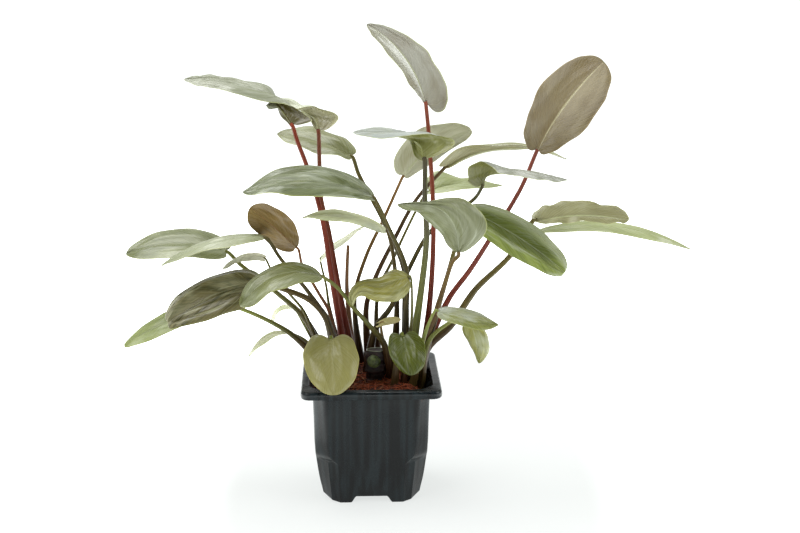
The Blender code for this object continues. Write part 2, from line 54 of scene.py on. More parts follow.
MM = 0.001
POT_LOW, POT_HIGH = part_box("pot")
POT_AXIS = np.array(((POT_LOW.x + POT_HIGH.x) / 2, (POT_LOW.y + POT_HIGH.y) / 2, 0.0))

# Pot
POT_HEIGHT = (POT_HIGH.z - POT_LOW.z) / MM
POT_TURN = radians(2.0)
RIM_SIDE = 55.5
RIM_RADIUS = 4.0
RIM_LIP = 3.4
RIM_THICK = 0.9
# Rounding of the corner under the brim, inward and down
BRIM_CORNER = (0.4, 0.5)
BRIM_GAP = 0.3
# Steps inward from the rim's side, and up from the lip's foot or down from the rim's top
LIP_EDGE = [(0.8, 0.0), (0.5, 0.08), (0.24, 0.34), (0.08, 0.8), (0.0, 1.4)]
RIM_EDGE = [(0.0, 1.3), (0.08, 0.8), (0.3, 0.35), (0.65, 0.08), (1.1, 0.0)]
# Steps outward from the pot's inner side, and down from the rim's top
OPENING_EDGE = [(1.0, 0.12), (0.6, 0.1), (0.35, 0.02), (0.15, 0.08), (0.0, 0.4)]
WALL = 0.9
# Feet: their wall, how high they shape the sides, where the arch between two of them ends and how far it is
# level, to each side of the middle, and how high it is. The left and right sides rise all along.
FOOT_WALL = 1.6
FOOT_REACH = 9.0
FOOT_INNER = 8.4
ARCH_HALF = 6.0
FOOT_ARCH_HEIGHT = 2.6
SIDE_RISE = 1.8
# Fold in each cut corner: how far it stands out, its share of the way across, and the heights where it ends
CORNER_FOLD = 1.3
FOLD_PLACE = 1 / 3
FOLD_END = (17.0, 18.6)
FLOOR_UNDERSIDE = 3.4
FLOOR_THICK = 1.0
FOOT_LEVELS = (FLOOR_UNDERSIDE, 2.0, 0.4)
# Width of the body, corner cut and rounding of the cut's edges, at each height from the ground
BODY_PROFILE = [(0.0, 39.0, 6.8, 0.5), (6.0, 41.0, 7.6, 0.5), (12.0, 43.0, 8.3, 0.5),
                (17.2, 44.4, 8.8, 0.8), (20.2, 44.9, 5.9, 2.0), (26.0, 45.5, 5.4, 2.6),
                (36.0, 45.9, 5.0, 3.0), (45.0, 46.5, 4.6, 3.0), (46.4, 47.2, 4.6, 3.0),
                (48.1, 50.2, 4.8, 3.2), (49.0, 50.4, 4.8, 3.2)]
MOULD_LINES = 0.07
# Heights at which the body's outside has a ring of points, close together where its shape changes
BODY_LEVELS = [0.0, 0.3, 0.8, 1.6, 2.6, 3.8, 5.2, 7.0, 9.0, 11.0, 13.0, 15.0, 16.4]
BODY_LEVELS += [17.2 + 0.3 * k for k in range(7)] + [19.6 + 1.2 * k for k in range(22)] + [46.0, 46.8, 47.5]
WALL_LEVELS = [48.1, 47.4, 46.8, 46.2, 45.6, 45.0, 44.0, 40.0, 30.0, 20.0, 10.0]
SIDE_STEPS = 96
ARC_STEPS = 5
CUT_STEPS = 6

# Coir
COIR_TOP = 45.0
# The top's heap in the middle, how far it is sunk, its lumps, and its drop along the pot's sides
COIR_HEAP = 2.3
COIR_SUNK = 0.5
COIR_LUMPS = 0.8
COIR_DROP = 1.2
COIR_GAP = 0.3
COIR_LEVELS = (20.0, 36.0)
COIR_LAYERS = 34
FIBRE_STEPS = 6
FIBRE_COUNT = 1500
FIBRE_LENGTH = (3.0, 9.0)
FIBRE_RADIUS = (0.09, 0.24)
FIBRE_TURN = 0.35
FIBRE_ARCH = (-0.2, 0.9)
FIBRE_MARGIN = 0.8

# Rhizome stump
STUMP_PLACE = (1.6, -4.0)
STUMP_RADIUS = 3.7
STUMP_HEIGHT = 14.5
STUMP_LEAN = 0.6
STUMP_KNOBS = 0.35
STUMP_RIDGES = 0.12
# How wide the worn middle of the stump's top is, in shares of the top, and how far it is sunk
STUMP_HOLLOW = (0.8, 0.25)
# Swell of the stump at each share of its height, with its old leaf rings
STUMP_PROFILE = [(0.0, 1.0), (0.16, 1.12), (0.3, 0.98), (0.46, 1.1),
                 (0.62, 0.94), (0.78, 1.04), (0.9, 0.98), (1.0, 0.94)]
# The bud and the cut stalk are given by places in the viewing plane: across, up and depth
BUD_PLACE = (1.6, 55.5, -7.2)
BUD_RADIUS = 2.7
# Sides and rows of the two meshes
STUMP_GRID = (72, 60)
BUD_GRID = (32, 24)
CUT_STALK_ROOT = (-7.5, 14.0)
CUT_STALK = [(-8.0, 68.0, 14.0), (-9.2, 83.6, 14.0), (-9.2, 91.6, 14.0), (-8.8, 101.6, 14.0)]
CUT_STALK_GIRTH = 0.8
CUT_STALK_SIDES = 24
RAGGED_TOP = 1.2

# Leaves
STALK_FOOT = 44.0
STALK_ROWS = 46
# How much closer the rows are near the blade
STALK_SPREAD = 1.6
# Radius at the foot, and what it loses on the way up, in girths
STALK_WIDE = 1.5
STALK_TAPER = 0.65
# Groove along a stalk, in shares of its radius and radians, and the fine ridges round it
GROOVE_DEEP = 0.16
GROOVE_TURN = 0.35
RIDGE_COUNT = 7
RIDGE_HIGH = 0.025
SHEATH_SWELL = 0.8
SHEATH_REACH = 18.0
# Heights between which the brown of the stalks' feet ends, in metres
SHEATH_LOW = 0.05
SHEATH_HIGH = 0.072
BLADE_ROWS = 72
COLUMNS = 13
COLUMN_SPREAD = 1.35
SHEET_THICK = 0.36
BLADE_LEAD = 1.5
LOBE_START = 0.04
LOBE_PEAK = 0.2
MIDRIB_LAG = 1.15
SLOPE_STEP = 0.02
# The midrib's height under the blade at its tip, and how much more at its base, in girths
RIB_LEAST = 0.15
RIB_MORE = 0.75
# Depth and half width of the groove over the midrib
RIB_GROOVE = (0.16, 0.5)
# The stalk's radius where it runs out on the upper face, in girths, and how far it runs
RUN_OUT = (0.85, 0.02)
# How fast the noise runs along the blade, or along and across it, for each kind of unevenness
NICK_RATE = 2.2
RIPPLE_RATE = 1.3
PLEAT_RATES = (1.5, 4.2)
LUMP_RATES = (4.0, 1.6)
RIPPLE_HEIGHT = 1.7
VEIN_SWEEP = 0.42
VEINS = 9.0

# The plant is laid out as it is seen from this eye, on a plane that stands square to the sight line.
# A place on the plane is read across and up in millimetres, and a depth is read back along +Y.
EYE_DISTANCE = 600.0
EYE_PITCH = radians(13.3)
SIGHT_CENTRE = Vector((12.0, 0.0, 92.7))
SIGHT_CENTRE_ACROSS = 12.0
SIGHT_CENTRE_UP = 93.4
LENS = 67.5
SENSOR = 36.0
FORWARD = Vector((0.0, cos(EYE_PITCH), -sin(EYE_PITCH)))
UPWARD = Vector((0.0, sin(EYE_PITCH), cos(EYE_PITCH)))
EYE = SIGHT_CENTRE - FORWARD * EYE_DISTANCE

# Studio
# The world's two strengths are those behind the camera and beyond the plant.
# The floor's glow rises over GLOW_REACH and then loses GLOW_LOSS over GLOW_END, in metres from the floor's
# middle, where the way towards the camera counts GLOW_FRONT times.
WORLD_STRENGTH = (0.12, 0.75)
WORLD_TURN = (-0.7, 0.35)
FLOOR_GLOW = (0.73, 3.0)
GLOW_REACH = (0.07, 0.14)
GLOW_LOSS = 1.8
GLOW_END = (0.2, 0.36)
GLOW_FRONT = 0.4
GLOW_TINT = (0.97, 1.0, 0.985)
FLOOR_ALBEDO = (0.22, 0.225, 0.222)
FLOOR_REACH = 8.0
WORLD_TINT = (0.98, 1.0, 0.99)
# Place, size and power of each softbox
LAMPS = [((-250.0, 150.0, 900.0), 700.0, 9.0), ((-500.0, -450.0, 500.0), 400.0, 2.0),
         ((600.0, -200.0, 400.0), 400.0, 1.5)]

random.seed(7)


# Meshes

def in_frame(points):
    """Points from millimetres round the pot's axis to metres in the row frame."""
    return np.asarray(points, float) * MM + POT_AXIS


def add_object(name, data):
    """A new object in the scene."""
    made = bpy.data.objects.new(name, data)
    bpy.context.scene.collection.objects.link(made)
    return made


def make_piece(name, points, faces, materials, node, face_material=None, attributes=None, sharp=50.0):
    """A mesh piece that stands for a node of the same plant and rides with it."""
    mesh = bpy.data.meshes.new(name)
    mesh.from_pydata(in_frame(points).tolist(), [], faces)
    for finish in materials:
        mesh.materials.append(finish)
    if face_material is not None:
        mesh.polygons.foreach_set("material_index", face_material)
    for key, values in (attributes or {}).items():
        values = np.asarray(values, np.float32)
        kind = "FLOAT" if values.ndim == 1 else "FLOAT_VECTOR"
        field = "value" if values.ndim == 1 else "vector"
        mesh.attributes.new(key, kind, "POINT").data.foreach_set(field, values.ravel())
    shape = bmesh.new()
    shape.from_mesh(mesh)
    bmesh.ops.recalc_face_normals(shape, faces=shape.faces)
    shape.to_mesh(mesh)
    shape.free()
    mesh.shade_smooth()
    mesh.set_sharp_from_angle(angle=radians(sharp))
    piece = add_object(name, mesh)
    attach(piece, "root")
    if node:
        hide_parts(node)


def ring_faces(rings, size, start=0, caps=True):
    """Quads between rings of equal size that follow each other in a list of points, and both end faces."""
    faces = []
    for row in range(rings - 1):
        low = start + row * size
        for k in range(size):
            after = (k + 1) % size
            faces.append((low + k, low + after, low + size + after, low + size + k))
    if caps:
        last = start + (rings - 1) * size
        faces += [tuple(range(start, start + size)), tuple(range(last, last + size))]
    return faces


def fan_faces(start, size, top):
    """Triangles from a ring of points to one point beyond it."""
    return [(start + k, start + (k + 1) % size, top) for k in range(size)]


def noise_at(x, y, z):
    """Smooth noise between about -1 and 1."""
    return noise.noise(Vector((x, y, z)))


def smooth_step(value, low, high):
    """0 below low, 1 above high, and a smooth rise between them."""
    share = min(max((value - low) / (high - low), 0.0), 1.0)
    return share * share * (3 - 2 * share)


# Materials

def tint(red, green, blue):
    """A colour as it is seen on a screen, 0 to 255, as linear values."""
    values = [part / 255 for part in (red, green, blue)]
    return tuple(part / 12.92 if part <= 0.04045 else ((part + 0.055) / 1.055) ** 2.4 for part in values)


class Finish:
    """One Principled material and the few kinds of node that the plant's colours are built from."""

    def __init__(self, name, roughness=0.5, specular=0.5):
        self.material = bpy.data.materials.new(name)
        self.material.use_nodes = True
        self.tree = self.material.node_tree
        self.shader = self.tree.nodes["Principled BSDF"]
        self.shader.inputs["Roughness"].default_value = roughness
        self.shader.inputs["Specular IOR Level"].default_value = specular

    def put(self, socket, value):
        """Links a node's output to a socket, or sets the socket to a number or colour."""
        if isinstance(value, bpy.types.NodeSocket):
            self.tree.links.new(value, socket)
        elif isinstance(value, tuple) and len(value) == 3 and socket.type == "RGBA":
            socket.default_value = (*value, 1.0)
        else:
            socket.default_value = value

    def attribute(self, name, output="Fac"):
        node = self.tree.nodes.new("ShaderNodeAttribute")
        node.attribute_name = name
        return node.outputs[output]

    def place(self):
        return self.tree.nodes.new("ShaderNodeTexCoord").outputs["Object"]

    def split(self, vector):
        node = self.tree.nodes.new("ShaderNodeSeparateXYZ")
        self.put(node.inputs[0], vector)
        return node.outputs

    def join(self, x, y, z):
        node = self.tree.nodes.new("ShaderNodeCombineXYZ")
        for socket, value in zip(node.inputs, (x, y, z)):
            self.put(socket, value)
        return node.outputs[0]

    def maths(self, operation, first, second=0.0):
        node = self.tree.nodes.new("ShaderNodeMath")
        node.operation = operation
        self.put(node.inputs[0], first)
        self.put(node.inputs[1], second)
        return node.outputs[0]

    def times(self, first, second):
        return self.maths("MULTIPLY", first, second)

    def rise(self, value, low, high, bottom=0.0, top=1.0):
        """Smooth rise of a value from bottom at low to top at high."""
        node = self.tree.nodes.new("ShaderNodeMapRange")
        node.interpolation_type = "SMOOTHSTEP"
        for socket, part in zip(node.inputs[:5], (value, low, high, bottom, top)):
            self.put(socket, part)
        return node.outputs[0]

    def noise(self, vector, scale, detail=2.0, roughness=0.5):
        node = self.tree.nodes.new("ShaderNodeTexNoise")
        self.put(node.inputs["Vector"], vector)
        for key, value in (("Scale", scale), ("Detail", detail), ("Roughness", roughness)):
            node.inputs[key].default_value = value
        return node.outputs["Fac"]

    def mix(self, share, first, second):
        """Colour between first, at 0, and second, at 1."""
        node = self.tree.nodes.new("ShaderNodeMix")
        node.data_type = "RGBA"
        self.put(node.inputs[0], share)
        self.put(node.inputs[6], first)
        self.put(node.inputs[7], second)
        return node.outputs[2]

    def layer(self, base, colour, value, low, high, share=1.0):
        """A colour that comes in over another, up to a share, as a value rises from low to high."""
        return self.mix(self.rise(value, low, high, 0.0, share), base, colour)

    def bump(self, height, distance):
        """Relief of a height from 0 to 1, distance millimetres deep."""
        node = self.tree.nodes.new("ShaderNodeBump")
        node.inputs["Distance"].default_value = distance * MM
        self.put(node.inputs["Height"], height)
        self.put(self.shader.inputs["Normal"], node.outputs[0])

    def colour(self, value):
        self.put(self.shader.inputs["Base Color"], value)

    def roughness(self, value, smooth, rough):
        self.put(self.shader.inputs["Roughness"], self.rise(value, 0.3, 0.7, smooth, rough))


def plastic_finish():
    """Moulded black plastic with faint upright flow lines, scuffs and dust."""
    made = Finish("black_plastic", 0.26, 0.3)
    x, y, z = made.split(made.place())
    flow = made.noise(made.join(x, y, made.times(z, 0.012)), 420.0, 1.0, 0.4)
    scuffs = made.noise(made.place(), 90.0, 2.0, 0.5)
    base = made.layer(tint(7, 11, 13), tint(26, 35, 38), flow, 0.35, 0.7)
    made.colour(made.layer(base, tint(62, 68, 66), scuffs, 0.5, 0.9, 0.12))
    made.roughness(scuffs, 0.2, 0.34)
    dents = made.noise(made.join(x, y, made.times(z, 0.35)), 120.0, 2.0)
    made.bump(made.maths("ADD", flow, made.times(dents, 3.0)), 0.08)
    return made.material


def coir_finish():
    """Damp red-brown fibre, with darker spots of painted shade."""
    made = Finish("coir", 0.8, 0.3)
    grain = made.noise(made.place(), 900.0, 4.0, 0.7)
    lumps = made.noise(made.place(), 220.0, 2.0)
    base = made.layer(tint(42, 15, 6), tint(138, 60, 28), grain, 0.3, 0.7)
    # Painted shade: darker spots over the fibre.
    made.colour(made.layer(base, tint(54, 24, 14), lumps, 0.45, 0.7))
    made.roughness(grain, 0.6, 0.9)
    made.bump(grain, 0.3)
    return made.material


def fibre_finish():
    """Coir strands, each its own shade between dark red-brown and straw."""
    made = Finish("coir_strands", 0.6, 0.4)
    shade = made.attribute("shade")
    dark = made.layer(tint(56, 20, 10), tint(152, 72, 36), shade, 0.0, 0.6)
    grain = made.noise(made.place(), 1500.0, 2.0)
    straw = made.mix(grain, tint(150, 96, 52), tint(100, 62, 34))
    made.colour(made.layer(dark, straw, shade, 0.8, 0.95))
    made.roughness(grain, 0.5, 0.75)
    return made.material


def stump_finish():
    """Dark purple-brown stump, ringed with leaf scars, with an olive bud and a painted highlight along its
    top edge.
    """
    made = Finish("rhizome", 0.55, 0.4)
    grain = made.noise(made.place(), 500.0, 4.0, 0.65)
    bark = made.layer(tint(18, 10, 12), tint(48, 28, 24), grain, 0.35, 0.7)
    bud = made.layer(tint(46, 54, 28), tint(98, 110, 64), grain, 0.35, 0.7)
    # Painted highlight: a pale tint along the stump's top edge.
    pale = made.mix(grain, tint(164, 166, 150), tint(96, 98, 88))
    kind = made.attribute("kind")
    made.colour(made.layer(made.layer(bark, bud, kind, 0.4, 0.6), pale, kind, 1.4, 1.6))
    made.roughness(grain, 0.4, 0.65)
    made.bump(grain, 0.15)
    return made.material


def blade_finish(name, item):
    """Leaf skin: an upper and an under face, streaks of painted shade that sweep to the tip, painted
    highlights, fine veins, midrib and margin.
    """
    made = Finish(name, 0.28, 0.5)
    along, across, upper = made.split(made.attribute("blade", "Vector"))
    side = made.maths("ABSOLUTE", across)
    vein = made.attribute("vein")
    seed = float(sum(ord(letter) for letter in name) % 97)
    sweep = made.join(made.times(vein, 6.0), made.times(along, 1.4), seed)
    streak = made.noise(sweep, 1.7, 4.0, 0.6)
    bands = made.noise(made.join(made.times(across, 2.6), along, seed), 1.6, 3.0, 0.55)
    fine = made.noise(made.join(made.times(vein, 30.0), along, seed), 1.6, 3.0)
    painted_light_patches = made.noise(made.place(), 70.0, 2.0, 0.5)
    lines = made.maths("SINE", made.times(vein, 2 * pi * VEINS * 2))
    veins = made.rise(lines, 0.6, 1.0)
    midrib = made.rise(side, 0.01, 0.05, 1.0, 0.0)
    margin = made.rise(side, 0.95, 1.0)
    # Painted shade: dark side streaks, lengthwise bands and a darker tip, in the shade colour.
    top = made.layer(item.top, item.shade, streak, 0.45, 0.62, item.streak)
    top = made.layer(top, item.shade, bands, 0.5, 0.68, item.band)
    top = made.layer(top, item.shade, along, 0.62, 0.8, item.dark_tip)
    # Painted reflection: pale lengthwise streaks in the sheen colour.
    lengthwise = made.join(made.times(across, 3.4), made.times(along, 1.6), seed + 7.0)
    silver = made.noise(lengthwise, 1.7, 3.0, 0.6)
    top = made.layer(top, item.sheen, silver, 0.52, 0.68, item.silver)
    # Painted highlight in broad soft spots on the upper face.
    top = made.layer(top, item.sheen, painted_light_patches, 0.52, 0.72, 0.5)
    # Painted highlight over one half of the upper face, in the sheen colour.
    if item.pale:
        half = made.times(across, copysign(1.0, item.pale))
        top = made.mix(made.times(made.rise(half, 0.15, 0.75), abs(item.pale)), top, item.sheen)
    # Painted shade along the midrib.
    if item.core:
        short_of_tip = made.rise(along, 0.75, 0.95, 1.0, 0.0)
        inner = made.times(made.rise(side, 0.15, 0.7, item.core, 0.0), short_of_tip)
        top = made.mix(inner, top, item.shade)
    # Fine flecks of painted shade.
    top = made.layer(top, item.shade, fine, 0.42, 0.7, 0.12)
    top = made.mix(made.times(veins, 0.05), top, item.sheen)
    top = made.mix(made.times(midrib, 0.3), top, item.sheen)
    # Painted shade on the under face, in broad spots and lengthwise bands.
    under = made.layer(item.under, item.under_shade, painted_light_patches, 0.35, 0.7, 0.5)
    under = made.layer(under, item.under_shade, bands, 0.45, 0.7, 0.25)
    under = made.mix(made.times(veins, 0.05), under, item.rib)
    under = made.mix(made.times(midrib, 0.7), under, item.rib)
    skin = made.layer(under, top, upper, 0.35, 0.65)
    # Margin colour, partly its own tint and partly painted light shining through the thin edge.
    made.colour(made.mix(made.times(margin, 0.6), skin, item.rim))
    made.roughness(fine, 0.22, 0.36)
    made.bump(made.maths("ADD", made.times(veins, 0.12), bands), 0.25)
    return made.material


def stalk_finish(name, item):
    """Smooth stalk with fine lengthwise streaks, brown at its sheathed foot."""
    made = Finish(name, 0.36, 0.18)
    height = made.attribute("stalk")
    _, _, level = made.split(made.place())
    round_x, round_y, _ = made.split(made.attribute("blade", "Vector"))
    seed = float(sum(ord(letter) for letter in name) % 89)
    lengthwise = made.join(round_x, round_y, made.maths("ADD", made.times(height, 2.5), seed))
    streak = made.noise(lengthwise, 3.2, 3.0, 0.6)
    skin = made.layer(item.stalk_low, item.stalk_high, height, 0.15, 0.85)
    skin = made.layer(skin, item.stalk_streak, streak, 0.42, 0.68, 0.6)
    sheath = made.mix(streak, tint(26, 12, 6), tint(74, 34, 18))
    made.colour(made.mix(made.rise(level, SHEATH_LOW, SHEATH_HIGH, 0.8, 0.0), skin, sheath))
    made.roughness(streak, 0.28, 0.46)
    made.bump(streak, 0.08)
    return made.material


# Plant layout

def seen(across, up, depth):
    """The point at a depth on the sight line through a place in the viewing plane."""
    place = SIGHT_CENTRE + UPWARD * (up - SIGHT_CENTRE_UP)
    place.x += across - SIGHT_CENTRE_ACROSS
    sight = place - EYE
    return EYE + sight * ((depth - EYE.y) / sight.y)


def bent_line(start, bow, end, share):
    """Point of the parabola with its middle lifted by bow, straight on beyond its ends."""
    control = (start + end) / 2 + bow * 2
    inside = min(max(share, 0.0), 1.0)
    point = start * (1 - inside) ** 2 + control * 2 * inside * (1 - inside) + end * inside ** 2
    slope = (control - start) * 2 * (1 - inside) + (end - control) * 2 * inside
    return point + slope * (share - inside)


def through(points, share):
    """Point of a smooth curve through a list of points, at a share of the way along it."""
    lengths = [(b - a).length for a, b in zip(points, points[1:])]
    way = min(max(share, 0.0), 1.0) * sum(lengths)
    i = 0
    while i < len(lengths) - 1 and way > lengths[i]:
        way -= lengths[i]
        i += 1
    t = way / lengths[i]

    def slope(k):
        first, last = max(k - 1, 0), min(k + 1, len(points) - 1)
        return (points[last] - points[first]) / sum(lengths[first:last])

    start_pull = slope(i) * lengths[i]
    end_pull = slope(i + 1) * lengths[i]
    return (points[i] * (2 * t ** 3 - 3 * t ** 2 + 1) + start_pull * (t ** 3 - 2 * t ** 2 + t)
            + points[i + 1] * (3 * t ** 2 - 2 * t ** 3) + end_pull * (t ** 3 - t ** 2))


def between(stations, share):
    """Value at a share of the way through a list of evenly spread values, eased between neighbours."""
    if len(stations) == 1:
        return stations[0]
    place = min(max(share, 0.0), 1.0) * (len(stations) - 1)
    i = min(int(place), len(stations) - 2)
    return stations[i].lerp(stations[i + 1], smooth_step(place - i, 0.0, 1.0))


# Leaves

def blade_edge(u, lobe, acute, point):
    """Where a heart-shaped edge is: its place along the midrib and its share of the half width."""
    peak = u / LOBE_PEAK
    backward = peak ** 1.2 * exp(1.2 * (1 - peak)) * (1 - u) / (1 - LOBE_PEAK)
    along = (1 - cos(pi * u)) / 2 - (lobe + LOBE_START) * backward
    width = sin(pi * u) ** (0.8 + point * u ** 3) * (1 - acute * u * u)
    return along, width


class Blade:
    """The surface of one leaf blade, as rows of points across its midrib."""

    def __init__(self, item):
        self.item = item
        self.base = seen(*item.base)
        self.tip = seen(*item.tip)
        self.route = None
        if isinstance(item.bow, list):
            middle = item.bow[len(item.bow) // 2]
            self.route = [self.base] + [seen(*place) for place in item.bow] + [self.tip]
        else:
            middle = [(a + b) / 2 + c for a, b, c in zip(item.base, item.tip, item.bow)]
            self.bow = seen(*middle) - (self.base + self.tip) / 2
        self.left = self.side_vectors(item.left, middle)
        self.right = self.side_vectors(item.right, middle)
        self.seed = random.uniform(0, 40)

    def side_vectors(self, offsets, middle):
        """The offsets of one half's edge from the midrib, one or more along it, as vectors."""
        stations = offsets if isinstance(offsets, list) else [offsets]
        return [seen(*[a + b for a, b in zip(middle, offset)]) - seen(*middle) for offset in stations]

    def spine(self, share):
        """Point of the midrib, straight on beyond its ends."""
        if self.route is None:
            return bent_line(self.base, self.bow, self.tip, share)
        inside = min(max(share, 0.0), 1.0)
        near = 0.0 if share < 0.5 else 1.0 - SLOPE_STEP
        slope = (through(self.route, near + SLOPE_STEP) - through(self.route, near)) / SLOPE_STEP
        return through(self.route, inside) + slope * (share - inside)

    def half(self, u, middle, ahead, across, hand):
        """Upper and lower points of one half row, from the midrib to the edge, and their vein places."""
        item = self.item
        side = self.right if hand > 0 else self.left
        along, width = blade_edge(u, item.lobes[0 if hand < 0 else 1], item.acute, item.point)
        nick = noise_at(u * item.waves * NICK_RATE, hand * 5.0, self.seed)
        chord = self.spine(along) + between(side, u) * width * (1 + item.scallop * nick) - middle
        common = across.cross(ahead).normalized()
        own = chord.cross(ahead) if hand > 0 else ahead.cross(chord)
        own = own.normalized() if own.length > 1e-6 else common
        window = sin(pi * u) ** 0.5
        ripple = noise_at(u * item.waves * RIPPLE_RATE, hand * 3.0, self.seed + 50.0)
        points = []
        for k in range(COLUMNS + 1):
            t = (k / COLUMNS) ** COLUMN_SPREAD
            normal = common.lerp(own, t).normalized()
            vein = u - VEIN_SWEEP * t ** 0.8 * (0.35 + 0.65 * window)
            height = item.cup * 4 * t * (1 - t) * width - item.curl * t ** 3 * width
            height += item.wave * RIPPLE_HEIGHT * t ** 2 * window * ripple
            quilt = sin(2 * pi * VEINS * vein) * min(4 * t, 1.0) * (1 - t ** 6)
            height += item.quilt * quilt * window
            pleat = noise_at(u * PLEAT_RATES[0], t * hand * PLEAT_RATES[1], self.seed)
            lump = noise_at(u * LUMP_RATES[0], t * hand * LUMP_RATES[1], self.seed + 20.0)
            height += (item.pleat * pleat + item.rumple * lump) * min(3 * t, 1.0) * window
            reach = t * chord.length
            sheet = SHEET_THICK / 2 * sqrt(1 - t ** 6)
            rib = item.girth * (RIB_LEAST + RIB_MORE * (1 - u) ** 1.3)
            spread = exp(-(reach / (0.3 + 0.55 * rib)) ** 2)
            groove = RIB_GROOVE[0] * exp(-(reach / RIB_GROOVE[1]) ** 2)
            start = item.girth * RUN_OUT[0] * exp(-u / RUN_OUT[1]) * spread
            middle_line = middle + chord * t
            points.append((middle_line + normal * (height + sheet - groove + start),
                           middle_line + normal * (height - sheet - rib * spread), t, vein))
        return points

    def row(self, u):
        """Closed ring of points round the blade, with each point's place on the leaf."""
        middle = self.spine(u ** MIDRIB_LAG)
        ahead = self.spine(u ** MIDRIB_LAG + SLOPE_STEP) - middle
        across = between(self.right, u) - between(self.left, u)
        right = self.half(u, middle, ahead, across, 1)
        left = self.half(u, middle, ahead, across, -1)
        ring = []
        for near, far, hand, face in ((right, left, 1.0, 0), (left, right, -1.0, 1)):
            edge = near[COLUMNS]
            ring.append((edge[0].lerp(edge[1], 0.5), hand, 0.5, edge[3]))
            ring += [(place[face], hand * place[2], 1.0 - face, place[3]) for place in near[COLUMNS - 1::-1]]
            ring += [(place[face], -hand * place[2], 1.0 - face, place[3]) for place in far[1:COLUMNS]]
        return ring


def stalk_rings(points, girth, top_side, size):
    """Rings along a stalk from its foot, turned to meet the blade at its top."""
    rings = []
    side = top_side
    for step in range(STALK_ROWS, -1, -1):
        share = 1 - (1 - step / STALK_ROWS) ** STALK_SPREAD
        here = through(points, share)
        before = through(points, max(share - SLOPE_STEP / 2, 0.0))
        after = through(points, min(share + SLOPE_STEP / 2, 1.0))
        tangent = (after - before).normalized()
        side = (side - tangent * side.dot(tangent)).normalized()
        normal = side.cross(tangent)
        sheath = SHEATH_SWELL * exp(-((here - points[0]).length / SHEATH_REACH) ** 2)
        radius = girth * (STALK_WIDE - STALK_TAPER * share) + sheath
        ring = []
        for k in range(size):
            angle = 2 * pi * k / size
            groove = 1 - GROOVE_DEEP * exp(-((angle - pi / 2) / GROOVE_TURN) ** 2) * (1 - share) ** 0.2
            ridges = 1 + RIDGE_HIGH * cos(RIDGE_COUNT * angle)
            reach = radius * groove * ridges
            ring.append((here + (side * cos(angle) + normal * sin(angle)) * reach, angle, share))
        rings.insert(0, ring)
    return rings


def make_leaf(item):
    """One leaf, stalk and blade in a single skin."""
    blade = Blade(item)
    size = 4 * COLUMNS
    lead_in = blade.base - (blade.spine(SLOPE_STEP) - blade.base).normalized() * BLADE_LEAD
    foot = Vector((item.root[0], item.root[1], STALK_FOOT))
    route = [foot] + [seen(*place) for place in item.stalk] + [lead_in, blade.base]
    points, places, veins, heights = [], [], [], []
    for ring in stalk_rings(route, item.girth, blade.right[0], size):
        for point, angle, share in ring:
            points.append(point)
            places.append((cos(angle), sin(angle), 0.0))
            veins.append(0.0)
            heights.append(share)
    for row in range(1, BLADE_ROWS):
        u = row / BLADE_ROWS
        for point, across, upper, vein in blade.row(u):
            points.append(point)
            places.append((u, across, upper))
            veins.append(vein)
            heights.append(1.0)
    rings = STALK_ROWS + BLADE_ROWS
    faces = ring_faces(rings, size, caps=False)
    on_stalk = STALK_ROWS * size
    kinds = [1 if i < on_stalk else 0 for i in range(len(faces))]
    faces.append(tuple(range(size)))
    kinds.append(1)
    points.append(blade.tip)
    places.append((1.0, 0.0, 1.0))
    veins.append(1.0)
    heights.append(1.0)
    faces += fan_faces((rings - 1) * size, size, len(points) - 1)
    kinds += [0] * size
    materials = [blade_finish(item.name + "_skin", item), stalk_finish(item.name + "_stalk", item)]
    make_piece(item.name + "_grown", points, faces, materials, item.name, kinds,
               {"blade": places, "vein": veins, "stalk": heights})


# Looks that a leaf has unless its row gives others. Colours are as seen on a screen.
# top and under are the two faces' colours, shade and under_shade the colours of painted shade laid over them,
# and sheen the pale colour of painted highlights and reflections, which the upper face's veins and midrib
# also take.
# streak, band and silver are how strongly painted shade in side streaks, painted shade in lengthwise bands
# and pale lengthwise streaks of painted reflection show.
# rib is the colour of the under face's veins, rim the colour of the margin, partly its own tint and partly
# painted light shining through the thin edge.
# core darkens the skin along the midrib with painted shade, dark_tip the last third of the blade the same
# way, and pale lightens the right half with painted highlight, or the left half where it is below 0.
# cup raises the middle of each half and curl turns its edge down. wave ripples the edge and scallop
# notches it, both more often the larger waves is. quilt raises the strips between side veins, and rumple
# and pleat make the skin uneven.
LOOK = dict(top=(165, 178, 145), shade=(118, 128, 88), sheen=(196, 204, 184), under=(150, 150, 112),
            under_shade=(112, 104, 70), rib=(170, 176, 128), rim=(176, 182, 112), stalk_low=(42, 28, 10),
            stalk_high=(84, 86, 30), stalk_streak=(118, 102, 52), streak=0.35, cup=1.0, curl=0.6, wave=0.5,
            waves=3.0, quilt=0.02, rumple=0.6, pleat=0.9, scallop=0.07, core=0.0, pale=0.0, band=0.4,
            silver=0.15, dark_tip=0.0)
LEAVES = []


def leaf(name, base, tip, bow, left, right, root, stalk,
         lobes=(0.1, 0.1), acute=0.25, point=0.7, girth=0.9, **looks):
    """Adds one leaf. Its lengths are places and offsets in the viewing plane, in millimetres.

    left and right run from the midrib to the widest places of the two halves, as the upper face is
    looked at with the tip up, or are lists of such offsets from the blade's base to its tip. bow lifts
    the midrib's middle, or is a list of the places that the midrib runs through. lobes are how far the
    two halves reach back past the base, acute and point narrow the blade and draw out its tip.
    root is the stalk's foot in the pot, stalk lists the places that it runs through, and girth sets the
    radius of the stalk and the midrib.
    """
    looks = {**LOOK, **looks}
    for key, value in looks.items():
        if isinstance(value, tuple):
            looks[key] = tint(*value)
    LEAVES.append(SimpleNamespace(name=name, base=base, tip=tip, bow=bow, left=left, right=right, root=root,
                                  stalk=stalk, lobes=lobes, acute=acute, point=point, girth=girth, **looks))


